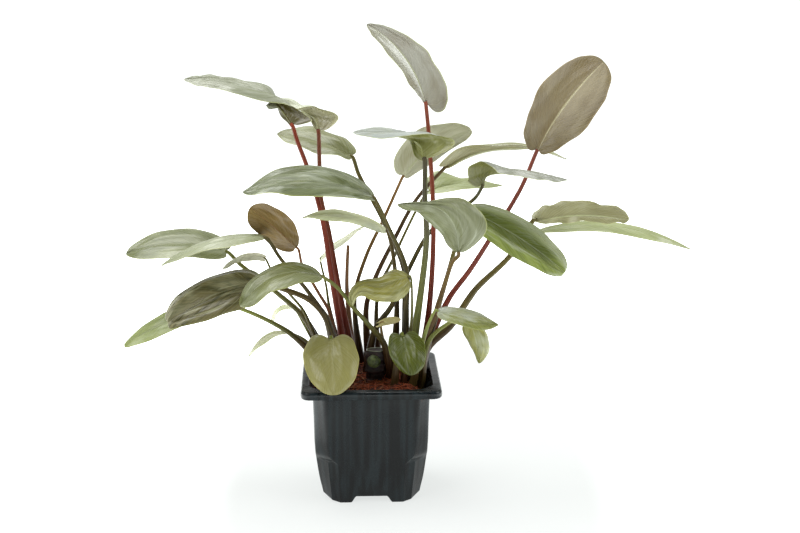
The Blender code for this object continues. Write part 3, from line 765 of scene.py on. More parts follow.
leaf("leaf_top_left", (-31.6, 150.4, 5), (-74.4, 168.4, 8),
     [(-36, 156.4, 9), (-42, 162.4, 12), (-53, 166, 13), (-64, 167.6, 11)],
     left=[(12, 0.6, -1), (15, 1, -2), (8, -3.4, -4), (-0.5, -3.2, -9), (-0.5, -3, -9), (-0.5, -2.4, -7)],
     right=[(-1.4, -0.4, 2), (-1.2, 0.6, 4), (1.5, 3.8, 11), (0.5, 4.2, 12), (0.5, 4.2, 11), (0, 3.8, 9)],
     lobes=(0, 0.02), point=0.2, root=(-9, 6), stalk=[(-12, 70, 7), (-13.8, 80, 7.5), (-15.8, 92, 8),
     (-18.2, 108, 8.5), (-21.2, 120.8, 8.5), (-25.4, 134, 8), (-29.2, 144, 6.5)],
     top=(148, 151, 132), shade=(110, 116, 84), sheen=(186, 190, 174), scallop=0.34, waves=5, wave=1.3,
     streak=0.5, under=(80, 75, 38), under_shade=(58, 50, 26), stalk_low=(96, 26, 12),
     stalk_high=(112, 42, 24), stalk_streak=(146, 68, 44))
leaf("leaf_top_left_small", (-20.8, 148, 12), (-41.6, 157.8, 12),
     [(-21.8, 152, 15), (-25.8, 155.4, 19), (-32, 157.6, 20), (-37.6, 158.6, 17)],
     left=[(6.6, 2, 0), (12.6, 5, -1), (3.4, 3, -4), (-0.5, -1.8, -6), (-1, -3.4, -6), (-0.5, -2, -5)],
     right=[(-1.4, 0.4, 1), (-2.2, 0.2, 3), (-1.2, 0.4, 8), (0.8, 3, 9), (0.8, 3.8, 8), (0.8, 2.8, 6)],
     lobes=(0.04, 0), acute=0.1, root=(-6, 10), stalk=[(-9.6, 70, 11), (-11.6, 80, 12), (-13.8, 92, 13),
     (-16.6, 108, 14), (-19.6, 120.8, 14.5), (-20.2, 134, 14), (-20.4, 141.6, 13)],
     top=(198, 202, 180), shade=(140, 142, 108), under=(158, 156, 122), stalk_low=(96, 26, 12),
     stalk_high=(94, 48, 28), stalk_streak=(138, 76, 56))
leaf("leaf_top", (22, 159.6, 11), (-1.2, 190.4, 0), (3.2, 2.6, 0),
     left=[(8.2, -2, 6), (12, -0.4, 8), (8.4, 3.6, 7), (5.4, 3.4, 5), (4.4, 3, 3)],
     right=[(-0.6, -0.4, 6), (-2.4, -1.4, 9), (-3.8, -1.4, 11), (-4, -2.4, 8), (-3.4, -3, 6)],
     lobes=(0.1, 0), point=0.3, root=(20.5, 10), stalk=[(24.2, 82, 10), (25.4, 112, 11), (23.6, 144.8, 12)],
     under=(154, 153, 140), under_shade=(112, 101, 74), top=(176, 182, 158), scallop=0.13, waves=6,
     stalk_low=(96, 26, 12), stalk_high=(118, 54, 34), stalk_streak=(156, 86, 68))
leaf("leaf_top_right", (67.2, 140.4, 14), (93.6, 175.4, 6), (-1.6, 1.2, -1),
     left=[(6, -0.5, 3), (9, -3.6, 4), (10.4, -6.6, 4), (9.4, -7.8, 4), (7, -7.6, 3)],
     right=[(-7.6, 1.6, 3), (-9.6, 5.4, 4), (-10, 7.2, 4), (-9.4, 7.8, 4), (-7.6, 7.6, 3)],
     lobes=(0.03, 0.02), acute=0.05, point=-0.1, root=(17, 3), stalk=[(31, 79.6, 5.5), (40, 92, 7.5),
     (48, 104.4, 9), (60, 124, 13)],
     under=(124, 111, 80), under_shade=(94, 77, 48), rib=(180, 174, 138), rim=(150, 122, 78), wave=1.1,
     waves=5, stalk_low=(100, 28, 14), stalk_high=(106, 54, 44), stalk_streak=(158, 84, 64))
leaf("leaf_upper_left_back", (-8, 137.6, 28), (-37.2, 146.4, 38), (0, 2, 0),
     left=[(0, -2, -6), (0, -2.6, -9), (0, -4.8, -11), (0, -4.8, -11), (0, -3.4, -8)],
     right=[(6.6, 4.2, 5), (3.4, 6.6, 9), (0.6, 5.6, 12), (0, 4.4, 12), (0, 3, 9)],
     lobes=(0, 0), point=0.2, root=(14.5, 12.5), stalk=[(14, 77, 15), (13.6, 92.4, 17), (5.2, 112, 21),
     (-4.4, 130, 26)],
     top=(118, 120, 79), shade=(82, 90, 44), sheen=(170, 174, 144), wave=0.9, stalk_low=(50, 42, 24),
     stalk_high=(72, 68, 34))
leaf("leaf_middle_left", (0.4, 121.4, -2), (-50.8, 122.8, -18), (0, 6, 0),
     left=[(0, -1.2, -8), (0, -3.8, -12), (0, -6.2, -13), (0, -5.6, -12), (0, -3, -9)],
     right=[(0, 4, 8), (0, 6.4, 12), (0, 6.2, 12.5), (0, 5.4, 12), (0, 4, 9)],
     lobes=(0.02, 0.02), root=(14.2, 7), stalk=[(14.6, 77, 5.5), (14.6, 92, 3.5), (7, 110, 0.5)],
     top=(108, 115, 81), shade=(65, 74, 36), sheen=(180, 186, 166), wave=1.2, waves=4, rumple=1.2, pleat=1.2,
     streak=0.6, silver=0.5, band=0.6, stalk_low=(50, 42, 24), stalk_high=(72, 68, 34))
leaf("leaf_middle_narrow", (6, 107.8, 8.5), (-27.2, 112.8, -5), (0, 3.2, 0),
     left=(-0.3, -1.8, -7), right=(0.3, 2.2, 7),
     lobes=(0, 0), root=(9.5, 17), stalk=[(10.8, 80, 13), (9.4, 97, 10.5)],
     top=(204, 208, 172), shade=(160, 166, 118), under=(182, 186, 146), under_shade=(146, 150, 104),
     stalk_low=(48, 38, 24), stalk_high=(74, 62, 32))
leaf("leaf_middle_thin", (-18.8, 97.2, 20), (-2, 109.6, 30), (0, 0.4, 0),
     left=(-0.4, 0.6, 4), right=(0.4, -0.5, -4),
     girth=0.5, root=(-11, 16), stalk=[(-16.4, 78, 17), (-17.6, 86, 18)],
     top=(236, 240, 214), shade=(206, 212, 172), under=(232, 236, 208))
leaf("leaf_brown", (-29.6, 101.2, -2), (-48, 117, -7), (0.3, 0.2, 0),
     left=[(1.2, 3, 3), (3.2, 4.6, 4), (4.6, 5.2, 4), (4.6, 4.8, 4), (3.2, 3.6, 3)],
     right=[(-3.6, -1.6, 3), (-5.2, -3.6, 4), (-5, -4.6, 4), (-4.2, -4.4, 4), (-2.8, -3.6, 3)],
     lobes=(0.02, 0.02), acute=0, point=-0.1, girth=0.6, root=(-12.5, 3), stalk=[(-16, 74.4, 1.5),
     (-20.8, 83.2, 0), (-27.2, 94.4, -2)],
     top=(136, 110, 72), shade=(92, 68, 40), sheen=(160, 142, 108), under=(135, 113, 68),
     under_shade=(84, 62, 30), rib=(118, 78, 46), rim=(104, 72, 42), wave=0.9, rumple=1.4,
     stalk_low=(92, 50, 28), stalk_high=(112, 66, 38))
leaf("leaf_far_left", (-58, 99.4, 10), (-97.6, 98.4, 8), (0, 3.5, 0),
     left=(-0.3, -5.8, -12), right=(1.8, 7.2, 13),
     lobes=(0, 0.04), point=0.3, root=(-15, 8.5), stalk=[(-25.6, 72, 6), (-37.2, 82.8, 6.5), (-51.6, 94, 9)],
     top=(104, 110, 66), shade=(72, 80, 41), sheen=(164, 168, 132), stalk_high=(92, 98, 48))
leaf("leaf_left_narrow", (-42.8, 104.8, -8), (-83.6, 93.6, -14), (0, 2.9, 0),
     left=(-0.4, -1.3, -11), right=(0.5, 2.2, 12),
     lobes=(0, 0), girth=0.8, root=(-13, -1), stalk=[(-17.5, 72, -3), (-24.8, 83.4, -5), (-35.6, 96.4, -7)],
     top=(144, 149, 116), shade=(106, 116, 68), sheen=(182, 186, 160), stalk_low=(56, 40, 26),
     stalk_high=(60, 56, 26))
leaf("leaf_left_bright", (-20, 89.6, -18), (-52, 77.6, -30),
     [(-28, 91.4, -21), (-38, 89.6, -24), (-45.6, 84.8, -27)],
     left=[(-0.3, -1.5, -8), (-0.4, -4.6, -10), (0.5, -5.6, -10), (3, -6, -8), (2, -3, -5)],
     right=[(0.3, 2, 8), (0.3, 4.2, 11), (-1.2, 4.2, 11), (-4.5, 4, 9), (-3, 2, 6)],
     lobes=(0.02, 0), point=0.2, girth=0.8, root=(9, -3), stalk=[(5.6, 62.4, -6), (0, 69.6, -9),
     (-6.8, 77.2, -12), (-12.4, 84.4, -14.5)],
     top=(109, 113, 61), shade=(75, 81, 30), sheen=(172, 178, 150), pale=-0.2, silver=0.4,
     under=(122, 126, 76), stalk_low=(46, 36, 20), stalk_high=(96, 104, 50), band=0.5, dark_tip=0.75)
leaf("leaf_left_dark", (-44.8, 86.4, -10), (-80.8, 70.8, -24), (0, 3, 0),
     left=[(2, -6.4, -6), (2, -8.8, -9), (1, -8.8, -9), (0, -7.6, -8), (0, -5, -6)],
     right=[(-0.5, 5.4, 6), (-1, 8.2, 10), (-2.4, 8.8, 10), (-4, 8.2, 9), (-4.6, 6, 7)],
     lobes=(0.05, 0.05), acute=0.05, point=-0.3, girth=1.1, root=(-11, -4), stalk=[(-16.8, 71, -6),
     (-23.6, 79.6, -9), (-33.6, 84, -10.5)],
     top=(106, 100, 66), shade=(62, 62, 30), sheen=(160, 160, 128), streak=0.85, under=(112, 102, 72),
     rim=(120, 122, 62), pleat=2.2, rumple=1.3, silver=0.8, band=0.6, stalk_low=(40, 28, 16),
     stalk_high=(58, 46, 24))
leaf("leaf_left_tiny", (-43.2, 96.8, 2.5), (-59.2, 92.4, -2), (0, 2, 0),
     left=(-0.3, -1.1, -4), right=(0.5, 2.2, 4),
     girth=0.5, root=(-16, 2), stalk=[(-26, 74.6, 1), (-33.2, 83.6, 1.5), (-39.5, 92, 2)],
     top=(206, 206, 184), shade=(150, 148, 116), under=(180, 176, 148))
leaf("leaf_lower_left", (-62, 78, 9), (-98.4, 61.8, 3), (0, 1.5, 0),
     left=(-1.6, -4.8, -10), right=(-1, 4.8, 11),
     point=0.2, girth=0.8, root=(-17.5, 12.5), stalk=[(-26.4, 62, 10), (-35.2, 68.8, 9), (-50.4, 76, 9)],
     top=(128, 138, 75), shade=(98, 110, 47), sheen=(182, 190, 150), under=(144, 154, 90),
     stalk_low=(52, 50, 26), stalk_high=(122, 132, 66))
leaf("leaf_lower_left_thin", (-35, 67, 15.5), (-48.8, 57.2, 20), (-0.5, 1.5, 0),
     left=(-0.4, -0.7, -5), right=(0.4, 0.8, 5),
     girth=0.5, root=(-18.5, 16), stalk=[(-21.5, 57, 15), (-26, 63.6, 15)],
     top=(181, 182, 152), shade=(160, 168, 112), under=(186, 192, 148), stalk_high=(150, 158, 96))
leaf("leaf_lower_left_small", (-31.6, 77, 18), (-39, 71, 24), (-1.5, 1.5, 0),
     left=(-0.4, -1, -4), right=(0.3, 1, 4),
     girth=0.5, root=(-15, 17), stalk=[(-22.5, 64, 17.5), (-28, 73.2, 17.5)],
     top=(220, 224, 190), shade=(188, 194, 146), under=(212, 216, 180), stalk_high=(150, 158, 96))
leaf("leaf_centre_top", (21.6, 136.8, -3), (-6.8, 147, -10),
     [(20, 141.6, 0), (16.4, 144.4, 2), (10, 146, 1), (0.8, 146.8, -4)],
     left=[(6, 1.6, -1), (19, 4.6, -2), (11, 1.6, -4), (0, -1.4, -6), (0, -1.6, -6), (0, -1, -5)],
     right=[(-2.4, 0, 1), (-5.4, -0.4, 2), (-2, 2.6, 6), (0, 2.4, 8), (0, 2, 7), (0, 1.4, 5)],
     lobes=(0, 0.02), point=0.2, girth=1.1, root=(15, 0.5), stalk=[(20.4, 83.6, 2), (22.6, 104, 0),
     (22, 120.4, -2)],
     top=(172, 178, 172), shade=(128, 132, 100), under=(126, 128, 72), under_shade=(92, 94, 44),
     stalk_low=(122, 126, 62), stalk_high=(62, 52, 42), stalk_streak=(112, 118, 70))
leaf("leaf_centre_back", (13.6, 130, 23), (40.4, 148.2, 18), (-2.5, 2, 0),
     left=[(1.4, -1.6, 2), (2.4, -3.2, 3), (3, -4, 3), (3, -4, 3), (2.4, -3, 2)],
     right=[(-6, 3.2, -3), (-7.8, 5.8, -5), (-5.4, 7, -5), (-3.4, 6, -5), (-2, 3.8, -4)],
     lobes=(0, 0.02), acute=0.1, point=-0.2, girth=0.7, root=(-4, 18.5), stalk=[(-6.2, 80, 21),
     (-2, 96.4, 24), (6, 113.6, 25)],
     top=(200, 202, 192), shade=(170, 170, 150), under=(186, 186, 158), under_shade=(138, 134, 96),
     stalk_low=(50, 44, 22), stalk_high=(122, 86, 44))
leaf("leaf_right_long", (31.2, 133.6, 21), (78.8, 136.4, 31),
     [(40, 138.2, 23), (52, 140.6, 26), (66, 140.4, 29)],
     left=[(0.6, -1.4, 4), (0.4, -1.4, 6), (0, -0.5, 9), (0, 0.8, 10), (0, 0.6, 8)],
     right=[(-3.6, 3.6, -4), (-1.5, 5, -6), (0, 2.2, -9), (0, 0, -9), (0, -0.5, -7)],
     lobes=(0, 0.05), girth=0.8, root=(-0.5, 15), stalk=[(-1.6, 76, 20), (1.6, 87.6, 24), (10, 104.8, 27),
     (18.4, 120, 24)],
     top=(146, 146, 104), shade=(104, 104, 60), under=(145, 141, 97), under_shade=(108, 104, 58),
     stalk_low=(62, 32, 22), stalk_high=(62, 42, 24))
leaf("leaf_right_pale", (24, 123.5, 36), (53.2, 125.6, 44), (0, 1.5, 0),
     left=[(-1, 7, 6), (-1, 9.5, 7), (0, 3.5, 8), (0, 1.6, 8), (0, 1, 6)],
     right=(0, -1.6, -9),
     lobes=(0.05, 0.05), girth=0.6, root=(3, 18.5), stalk=[(3, 82, 24), (9.5, 97, 30), (17.5, 114, 34)],
     top=(146, 153, 107), shade=(126, 136, 82), sheen=(196, 204, 178), under=(160, 164, 112),
     stalk_high=(92, 92, 42))
leaf("leaf_right_twisted", (45.2, 126.4, 2), (78.8, 128, -14),
     [(46.4, 129.6, 1), (49.6, 130.8, 0), (56, 130.8, -2), (64, 130.4, -6), (71, 129.2, -10)],
     left=[(-1, 1, 1), (-1, 1.6, 3), (-1, 1.6, 5), (0, 1.2, 8), (0, 1.8, 8), (0, 1.8, 8), (0, 1, 6)],
     right=[(-6.4, 0.2, -2), (-10.2, 3.6, -3), (-7, 6.2, -3), (-7, 1.2, -4), (-1, -1.4, -6), (0, -2, -6),
     (0.6, -2.8, -5)],
     lobes=(0, 0.04), girth=0.8, root=(-2, 5), stalk=[(2, 68, 6), (8.4, 77.2, 8), (14.8, 90.8, 10),
     (24.4, 107.6, 16.5), (41.2, 120, 9)],
     top=(137, 140, 128), shade=(100, 102, 72), under=(104, 105, 52), under_shade=(56, 58, 22), scallop=0.4,
     waves=5, stalk_low=(44, 38, 20), stalk_high=(52, 56, 30))
leaf("leaf_front_heart", (35.4, 99.4, -20), (11.2, 118.4, -34),
     [(34.8, 106.4, -21), (31.6, 113.2, -24), (26, 117.2, -27), (18.8, 118.2, -31)],
     left=[(-2.8, 1, 2), (-7.6, 0.2, 2), (-10.4, -1.2, 1), (-8.6, -3.2, 0), (-3.6, -1.2, 0)],
     right=[(6.4, 0.6, 3), (15.6, 4.6, 4), (10.2, 4.8, 5), (3.4, 1.6, 5), (0.5, 1.5, 3)],
     lobes=(0, 0), acute=0.2, point=0.8, root=(13, -6), stalk=[(25.6, 72.8, -4), (27.2, 78, -6),
     (30.8, 89.2, -11), (33, 95.2, -16)],
     top=(114, 118, 84), shade=(82, 87, 50), sheen=(176, 182, 158), under=(116, 118, 72), pleat=1.5,
     silver=0.4, streak=0.2, core=0.2, stalk_low=(64, 40, 24), stalk_high=(92, 72, 44), band=0.3)
leaf("leaf_right_dark", (40, 115.6, -4), (78, 91, -13), (1.2, 1.2, 0),
     left=(4.4, 6.2, 8), right=(-4.4, -5.7, -8),
     lobes=(0.02, 0.05), acute=0.05, point=-0.2, root=(18.5, -2.5), stalk=[(27.5, 78, -0.5), (31.5, 92, 0),
     (36, 108, 0.5)],
     top=(130, 142, 72), shade=(62, 72, 20), sheen=(176, 182, 158), streak=0.4, under=(106, 110, 62),
     rim=(128, 138, 62), pleat=1.6, core=0.75, pale=-0.5, silver=0.5, stalk_high=(92, 86, 42),
     rib=(118, 126, 72))
leaf("leaf_right_ruffled", (67, 112.4, 8), (103.6, 112, 4), (0, 2, 0),
     left=[(0, -1.5, 5), (0, -2.2, 8), (0, -2.8, 8), (0, -2.6, 8), (0, -2, 6)],
     right=[(-1, 3.2, -6), (-1, 5.4, -9), (0, 5.6, -9), (1, 6.4, -9), (1, 5, -7)],
     lobes=(0.05, 0.05), point=-0.2, girth=1.1, root=(19.8, 0.8), stalk=[(22.4, 60.5, 1), (32.4, 70, 2),
     (42, 84, 3.5), (56, 97.6, 6)],
     under=(128, 125, 84), under_shade=(90, 84, 42), top=(128, 134, 94), wave=1.4, waves=6, scallop=0.2,
     stalk_low=(62, 50, 28), stalk_high=(84, 78, 40))
leaf("leaf_far_right", (68, 107.5, 22), (128.4, 100.2, 34), (0, 5, 0),
     left=(0, 2.2, 11), right=(0, -2, -10),
     lobes=(0, 0), root=(19.8, 5.8), stalk=[(22.6, 60.5, 6.2), (33.5, 71.5, 8), (44, 86, 12),
     (57.5, 98.6, 17)],
     top=(160, 168, 118), shade=(124, 132, 72), sheen=(204, 208, 184), stalk_low=(62, 50, 28),
     stalk_high=(84, 82, 42))
leaf("leaf_lower_right", (27.5, 75.6, -14), (51.6, 70, -22), (0, 0.2, 0),
     left=[(0, 1.6, 6), (0.4, 3.2, 8), (0.8, 3.6, 8), (0.8, 2.6, 7), (0.5, 1.5, 5)],
     right=(-0.8, -3.8, -7),
     lobes=(0, 0), girth=0.6, root=(16.5, -9), stalk=[(22, 66.4, -11)],
     top=(128, 133, 69), shade=(80, 90, 35), sheen=(188, 194, 186), pale=-0.5, silver=0.4,
     stalk_low=(104, 114, 54), stalk_high=(128, 140, 74))
leaf("leaf_lower_right_hanging", (40, 70.8, -4), (43.6, 54.6, -9), (0.8, 0.4, -1.5),
     left=(5.6, 1, 2),
     right=[(-4, 0.5, 2), (-5.4, -0.5, 2), (-3.6, -0.6, 2), (-2, -0.5, 1), (-1, 0, 1)],
     lobes=(0, 0), point=0.2, girth=0.6, root=(20.3, -6.5), stalk=[(23.2, 62.8, -5.5), (30.8, 70.4, -3),
     (38, 72.8, -1)],
     top=(151, 151, 84), shade=(103, 107, 43), stalk_low=(104, 114, 54), stalk_high=(128, 140, 74))
leaf("leaf_pot_right", (13.1, 65.4, -16), (16.2, 49.8, -24.5), (0, 0.4, -1),
     left=(9, 0.5, 1), right=(-7.6, 0.5, 1),
     lobes=(0.16, 0.1), acute=0.4, point=0.1, girth=0.6, root=(9.5, -11.5), stalk=[(11, 58, -11),
     (12.4, 65.8, -12)],
     top=(72, 80, 13), shade=(49, 57, 6), sheen=(101, 108, 36), streak=0.4, rim=(128, 142, 58),
     stalk_low=(72, 80, 30), stalk_high=(92, 104, 42), rib=(108, 118, 50), silver=0.1)
leaf("leaf_pot_left", (-15.6, 64, -18), (-14.8, 41.9, -33), (0, 0.4, -1.5),
     left=(12.2, 0, 2), right=(-12.6, 0, 2),
     lobes=(0.12, 0.12), acute=0.48, point=0, girth=0.7, root=(-13.5, -9), stalk=[(-14.5, 56, -10),
     (-15.4, 64.6, -13.5)],
     top=(136, 132, 78), shade=(114, 106, 56), sheen=(166, 162, 112), streak=0.1, band=0.15, silver=0.1,
     rim=(184, 176, 96), stalk_low=(72, 80, 30), stalk_high=(92, 104, 42))
leaf("leaf_centre_curled", (14.8, 89.2, -10), (-7.2, 77.6, -17),
     [(9.6, 88, -12), (3.6, 86.4, -14), (-3.2, 86, -15.5), (-7.2, 82.4, -16.5)],
     left=[(0.6, -9, -2), (0.5, -10.5, -4), (1, -7.2, -4), (2.8, -2.6, -3), (1.5, -1, -1)],
     right=[(0, 1.5, 3), (-2, 5.4, 6), (-1, 2, 5), (-2.2, 0.2, 3), (-1.4, 0, 1)],
     lobes=(0.05, 0), point=0.1, girth=0.5, root=(13, -9.5), stalk=[(16.5, 70, -9), (16.8, 82, -9.5)],
     top=(132, 128, 58), shade=(76, 78, 20), sheen=(184, 186, 146), under=(128, 120, 56), streak=0.3, pleat=1,
     silver=0.45, stalk_high=(84, 86, 34), band=0.5, rib=(140, 142, 84))
leaf("leaf_new", (5.6, 71.2, 2), (12.4, 72.3, 0), (0, 0.3, 0),
     left=(0, 1.5, 2), right=(0, -1.5, -2),
     lobes=(0.5, 0.5), girth=0.4, root=(5.5, 1), stalk=[(5.6, 60, 1.5)],
     top=(212, 204, 140), shade=(176, 160, 98), sheen=(214, 198, 158), under=(202, 194, 126),
     rim=(224, 204, 150), streak=0.3, wave=0.1, rumple=0.2, cup=0.3, stalk_high=(150, 124, 80))


def make_cut_stalk():
    """Brown stalk without a blade, reddish at its foot, drying out to a ragged top."""
    made = Finish("cut_stalk", 0.55, 0.35)
    height = made.attribute("stalk")
    round_x, round_y, _ = made.split(made.attribute("blade", "Vector"))
    streak = made.noise(made.join(round_x, round_y, made.times(height, 4.0)), 3.0, 4.0, 0.65)
    skin = made.mix(streak, tint(70, 40, 26), tint(152, 112, 72))
    made.colour(made.mix(made.rise(height, 0.1, 0.5, 1.0, 0.0), skin, tint(96, 44, 34)))
    made.roughness(streak, 0.45, 0.7)
    made.bump(streak, 0.15)
    foot = Vector((CUT_STALK_ROOT[0], CUT_STALK_ROOT[1], STALK_FOOT))
    route = [foot] + [seen(*place) for place in CUT_STALK]
    size = CUT_STALK_SIDES
    points, places, heights = [], [], []
    for ring in stalk_rings(route, CUT_STALK_GIRTH, Vector((1.0, 0.0, 0.0)), size):
        for point, angle, share in ring:
            ragged = noise_at(cos(angle) * 2, sin(angle) * 2, 3.0)
            points.append(point + Vector((0.0, 0.0, RAGGED_TOP * ragged * smooth_step(share, 0.95, 1.0))))
            places.append((cos(angle), sin(angle), 0.0))
            heights.append(share)
    faces = ring_faces(STALK_ROWS + 1, size)
    make_piece("cut_stalk_grown", points, faces, [made.material], "cut_stalk",
               attributes={"blade": places, "stalk": heights})


# Pot

def body_at(z):
    """Width, corner cut and rounding of the pot's body at a height."""
    heights = [row[0] for row in BODY_PROFILE]
    return [float(np.interp(z, heights, [row[k] for row in BODY_PROFILE])) for k in (1, 2, 3)]


def square_ring(side, cut, rounding, z, foot=0.0, flow=0.0, fold=0.0):
    """Ring round a square with cut corners that are rounded where they meet its sides.

    foot, from 0 to 1, shapes the foot: the middles of the front and back sides and the whole left and
    right sides rise. flow sets how far moulding lines stand out, fold how far a corner's edge does.
    """
    half = side / 2
    bend = min(rounding * tan(pi / 8), cut * sin(pi / 4) * 0.98)
    straight = half - cut - bend
    radius = bend / tan(pi / 8)
    quarter = []
    rises = []
    for k in range(SIDE_STEPS + 1):
        along = -straight + 2 * straight * k / SIDE_STEPS
        line = noise_at(along * 0.55 + 40.0, 0.0, z * 0.012)
        line += 0.6 * noise_at(along * 1.7, 7.0, z * 0.02)
        fade = 1 - smooth_step(abs(along), straight - 2.0, straight)
        arch = FOOT_ARCH_HEIGHT * (1 - smooth_step(abs(along), ARCH_HALF, FOOT_INNER))
        quarter.append((along, -half - flow * line * fade))
        rises.append((arch, max(arch, SIDE_RISE)))

    def add_arc(first, x, y, rise):
        for k in range(1, ARC_STEPS):
            angle = first + pi / 4 * k / ARC_STEPS
            quarter.append((x + radius * cos(angle), y + radius * sin(angle)))
            rises.append(rise)

    add_arc(-pi / 2, straight, radius - half, (0.0, SIDE_RISE))
    start_x = straight + radius * cos(-pi / 4)
    start_y = -half + radius + radius * sin(-pi / 4)
    for k in range(CUT_STEPS + 1):
        share = k / CUT_STEPS
        quarter.append((start_x + (-start_y - start_x) * share, start_y + (-start_x - start_y) * share))
        rises.append((SIDE_RISE * share, SIDE_RISE * (1 - share)))
    add_arc(-pi / 4, half - radius, -straight, (SIDE_RISE, 0.0))
    first_cut = SIDE_STEPS + ARC_STEPS
    points = []
    for turn in range(4):
        angle = POT_TURN + turn * pi / 2
        for k, (x, y) in enumerate(quarter):
            share = (k - first_cut) / CUT_STEPS
            if 0.0 < share < 1.0:
                reach = share if turn % 2 == 0 else 1 - share
                stand = fold * min(reach / FOLD_PLACE, (1 - reach) / (1 - FOLD_PLACE)) * sin(pi / 4)
                x, y = x + stand, y - stand
            points.append((x * cos(angle) - y * sin(angle),
                           x * sin(angle) + y * cos(angle), z + foot * rises[k][turn % 2]))
    return points


def rim_ring(side, radius, z):
    """Ring round the rim, with round corners."""
    return square_ring(side, radius * (2 - sqrt(2)), radius, z)


def make_pot():
    """Thin-walled pot with a turned-down rim, flow lines on its sides, and feet under its corners."""
    rings = []
    side, cut, rounding = body_at(0.0)
    for z in FOOT_LEVELS:
        foot = 1 - z / FLOOR_UNDERSIDE
        rings.append(square_ring(side - 2 * FOOT_WALL, cut - FOOT_WALL / 2, rounding, z, foot))
    rings.append(square_ring(side - FOOT_WALL, cut - FOOT_WALL / 4, rounding, 0.0, 1.0, 0.0, CORNER_FOLD))
    brim_low = POT_HEIGHT - RIM_THICK
    for z in [z for z in BODY_LEVELS if z < brim_low] + [brim_low]:
        side, cut, rounding = body_at(z)
        shrink = 0.3 * (1 - smooth_step(z, 0.0, 0.4))
        foot = 1 - smooth_step(z, 0.0, FOOT_REACH)
        fold = CORNER_FOLD * (1 - smooth_step(z, *FOLD_END))
        rings.append(square_ring(side - shrink, cut, rounding, z, foot, MOULD_LINES, fold))
    lip_foot = POT_HEIGHT - RIM_LIP
    inside = RIM_SIDE - 2 * RIM_THICK
    rings.append(rim_ring(side + 2 * BRIM_GAP, cut / (2 - sqrt(2)), brim_low))
    rings.append(rim_ring(inside - 2 * BRIM_CORNER[0], RIM_RADIUS - RIM_THICK, brim_low))
    rings.append(rim_ring(inside, RIM_RADIUS - RIM_THICK, brim_low - BRIM_CORNER[1]))
    rings.append(rim_ring(inside, RIM_RADIUS - RIM_THICK, lip_foot + 0.15))
    for inward, z in LIP_EDGE:
        rings.append(rim_ring(RIM_SIDE - 2 * inward, RIM_RADIUS - inward, lip_foot + z))
    for inward, drop in RIM_EDGE:
        rings.append(rim_ring(RIM_SIDE - 2 * inward, RIM_RADIUS - inward * 0.5, POT_HEIGHT - drop))
    side, cut, rounding = body_at(brim_low)
    inner = side - 2 * WALL
    for outward, drop in OPENING_EDGE:
        rings.append(square_ring(inner + 2 * outward, cut + outward * 0.3, rounding, POT_HEIGHT - drop))
    for z in WALL_LEVELS + [FLOOR_UNDERSIDE + FLOOR_THICK]:
        side, cut, rounding = body_at(z)
        rings.append(square_ring(side - 2 * WALL, cut - WALL / 2, rounding, z))
    size = len(rings[0])
    points = [point for ring in rings for point in ring]
    faces = ring_faces(len(rings), size)
    make_piece("pot_moulded", points, faces, [plastic_finish()], "pot", sharp=24.0)


# Filling

def coir_height(x, y, half):
    """Height of the coir's lumpy top at a place, lower at its edge."""
    edge = max(abs(x), abs(y)) / half
    lumps = noise_at(x * 0.22, y * 0.22, 2.0) + 0.6 * noise_at(x * 0.7, y * 0.7, 5.0)
    heap = COIR_HEAP * (1 - smooth_step(edge, 0.62, 0.96))
    return COIR_TOP - COIR_SUNK + COIR_LUMPS * lumps + heap - COIR_DROP * smooth_step(edge, 0.75, 1.0)


def make_coir():
    """Coir block with a lumpy top, and loose strands that lie over it."""
    half = body_at(COIR_TOP)[0] / 2 - WALL - COIR_GAP
    rings = []
    low = FLOOR_UNDERSIDE + FLOOR_THICK + COIR_GAP
    for z in (low, *COIR_LEVELS):
        side, cut, rounding = body_at(z)
        rings.append(square_ring(side - 2 * WALL - 2 * COIR_GAP, cut, rounding, z))
    side, cut, rounding = body_at(COIR_TOP)
    for k in range(COIR_LAYERS):
        share = 1 - k / COIR_LAYERS
        ring = square_ring((side - 2 * WALL - 2 * COIR_GAP) * share, cut * share, rounding * share, 0.0)
        rings.append([(x, y, coir_height(x, y, half)) for x, y, _ in ring])
    size = len(rings[0])
    points = [point for ring in rings for point in ring]
    faces = ring_faces(len(rings), size, caps=False)
    faces.append(tuple(range(size)))
    points.append((0.0, 0.0, coir_height(0.0, 0.0, half)))
    faces += fan_faces((len(rings) - 1) * size, size, len(points) - 1)
    make_piece("coir_block", points, faces, [coir_finish()], "coir")
    make_strands(half)


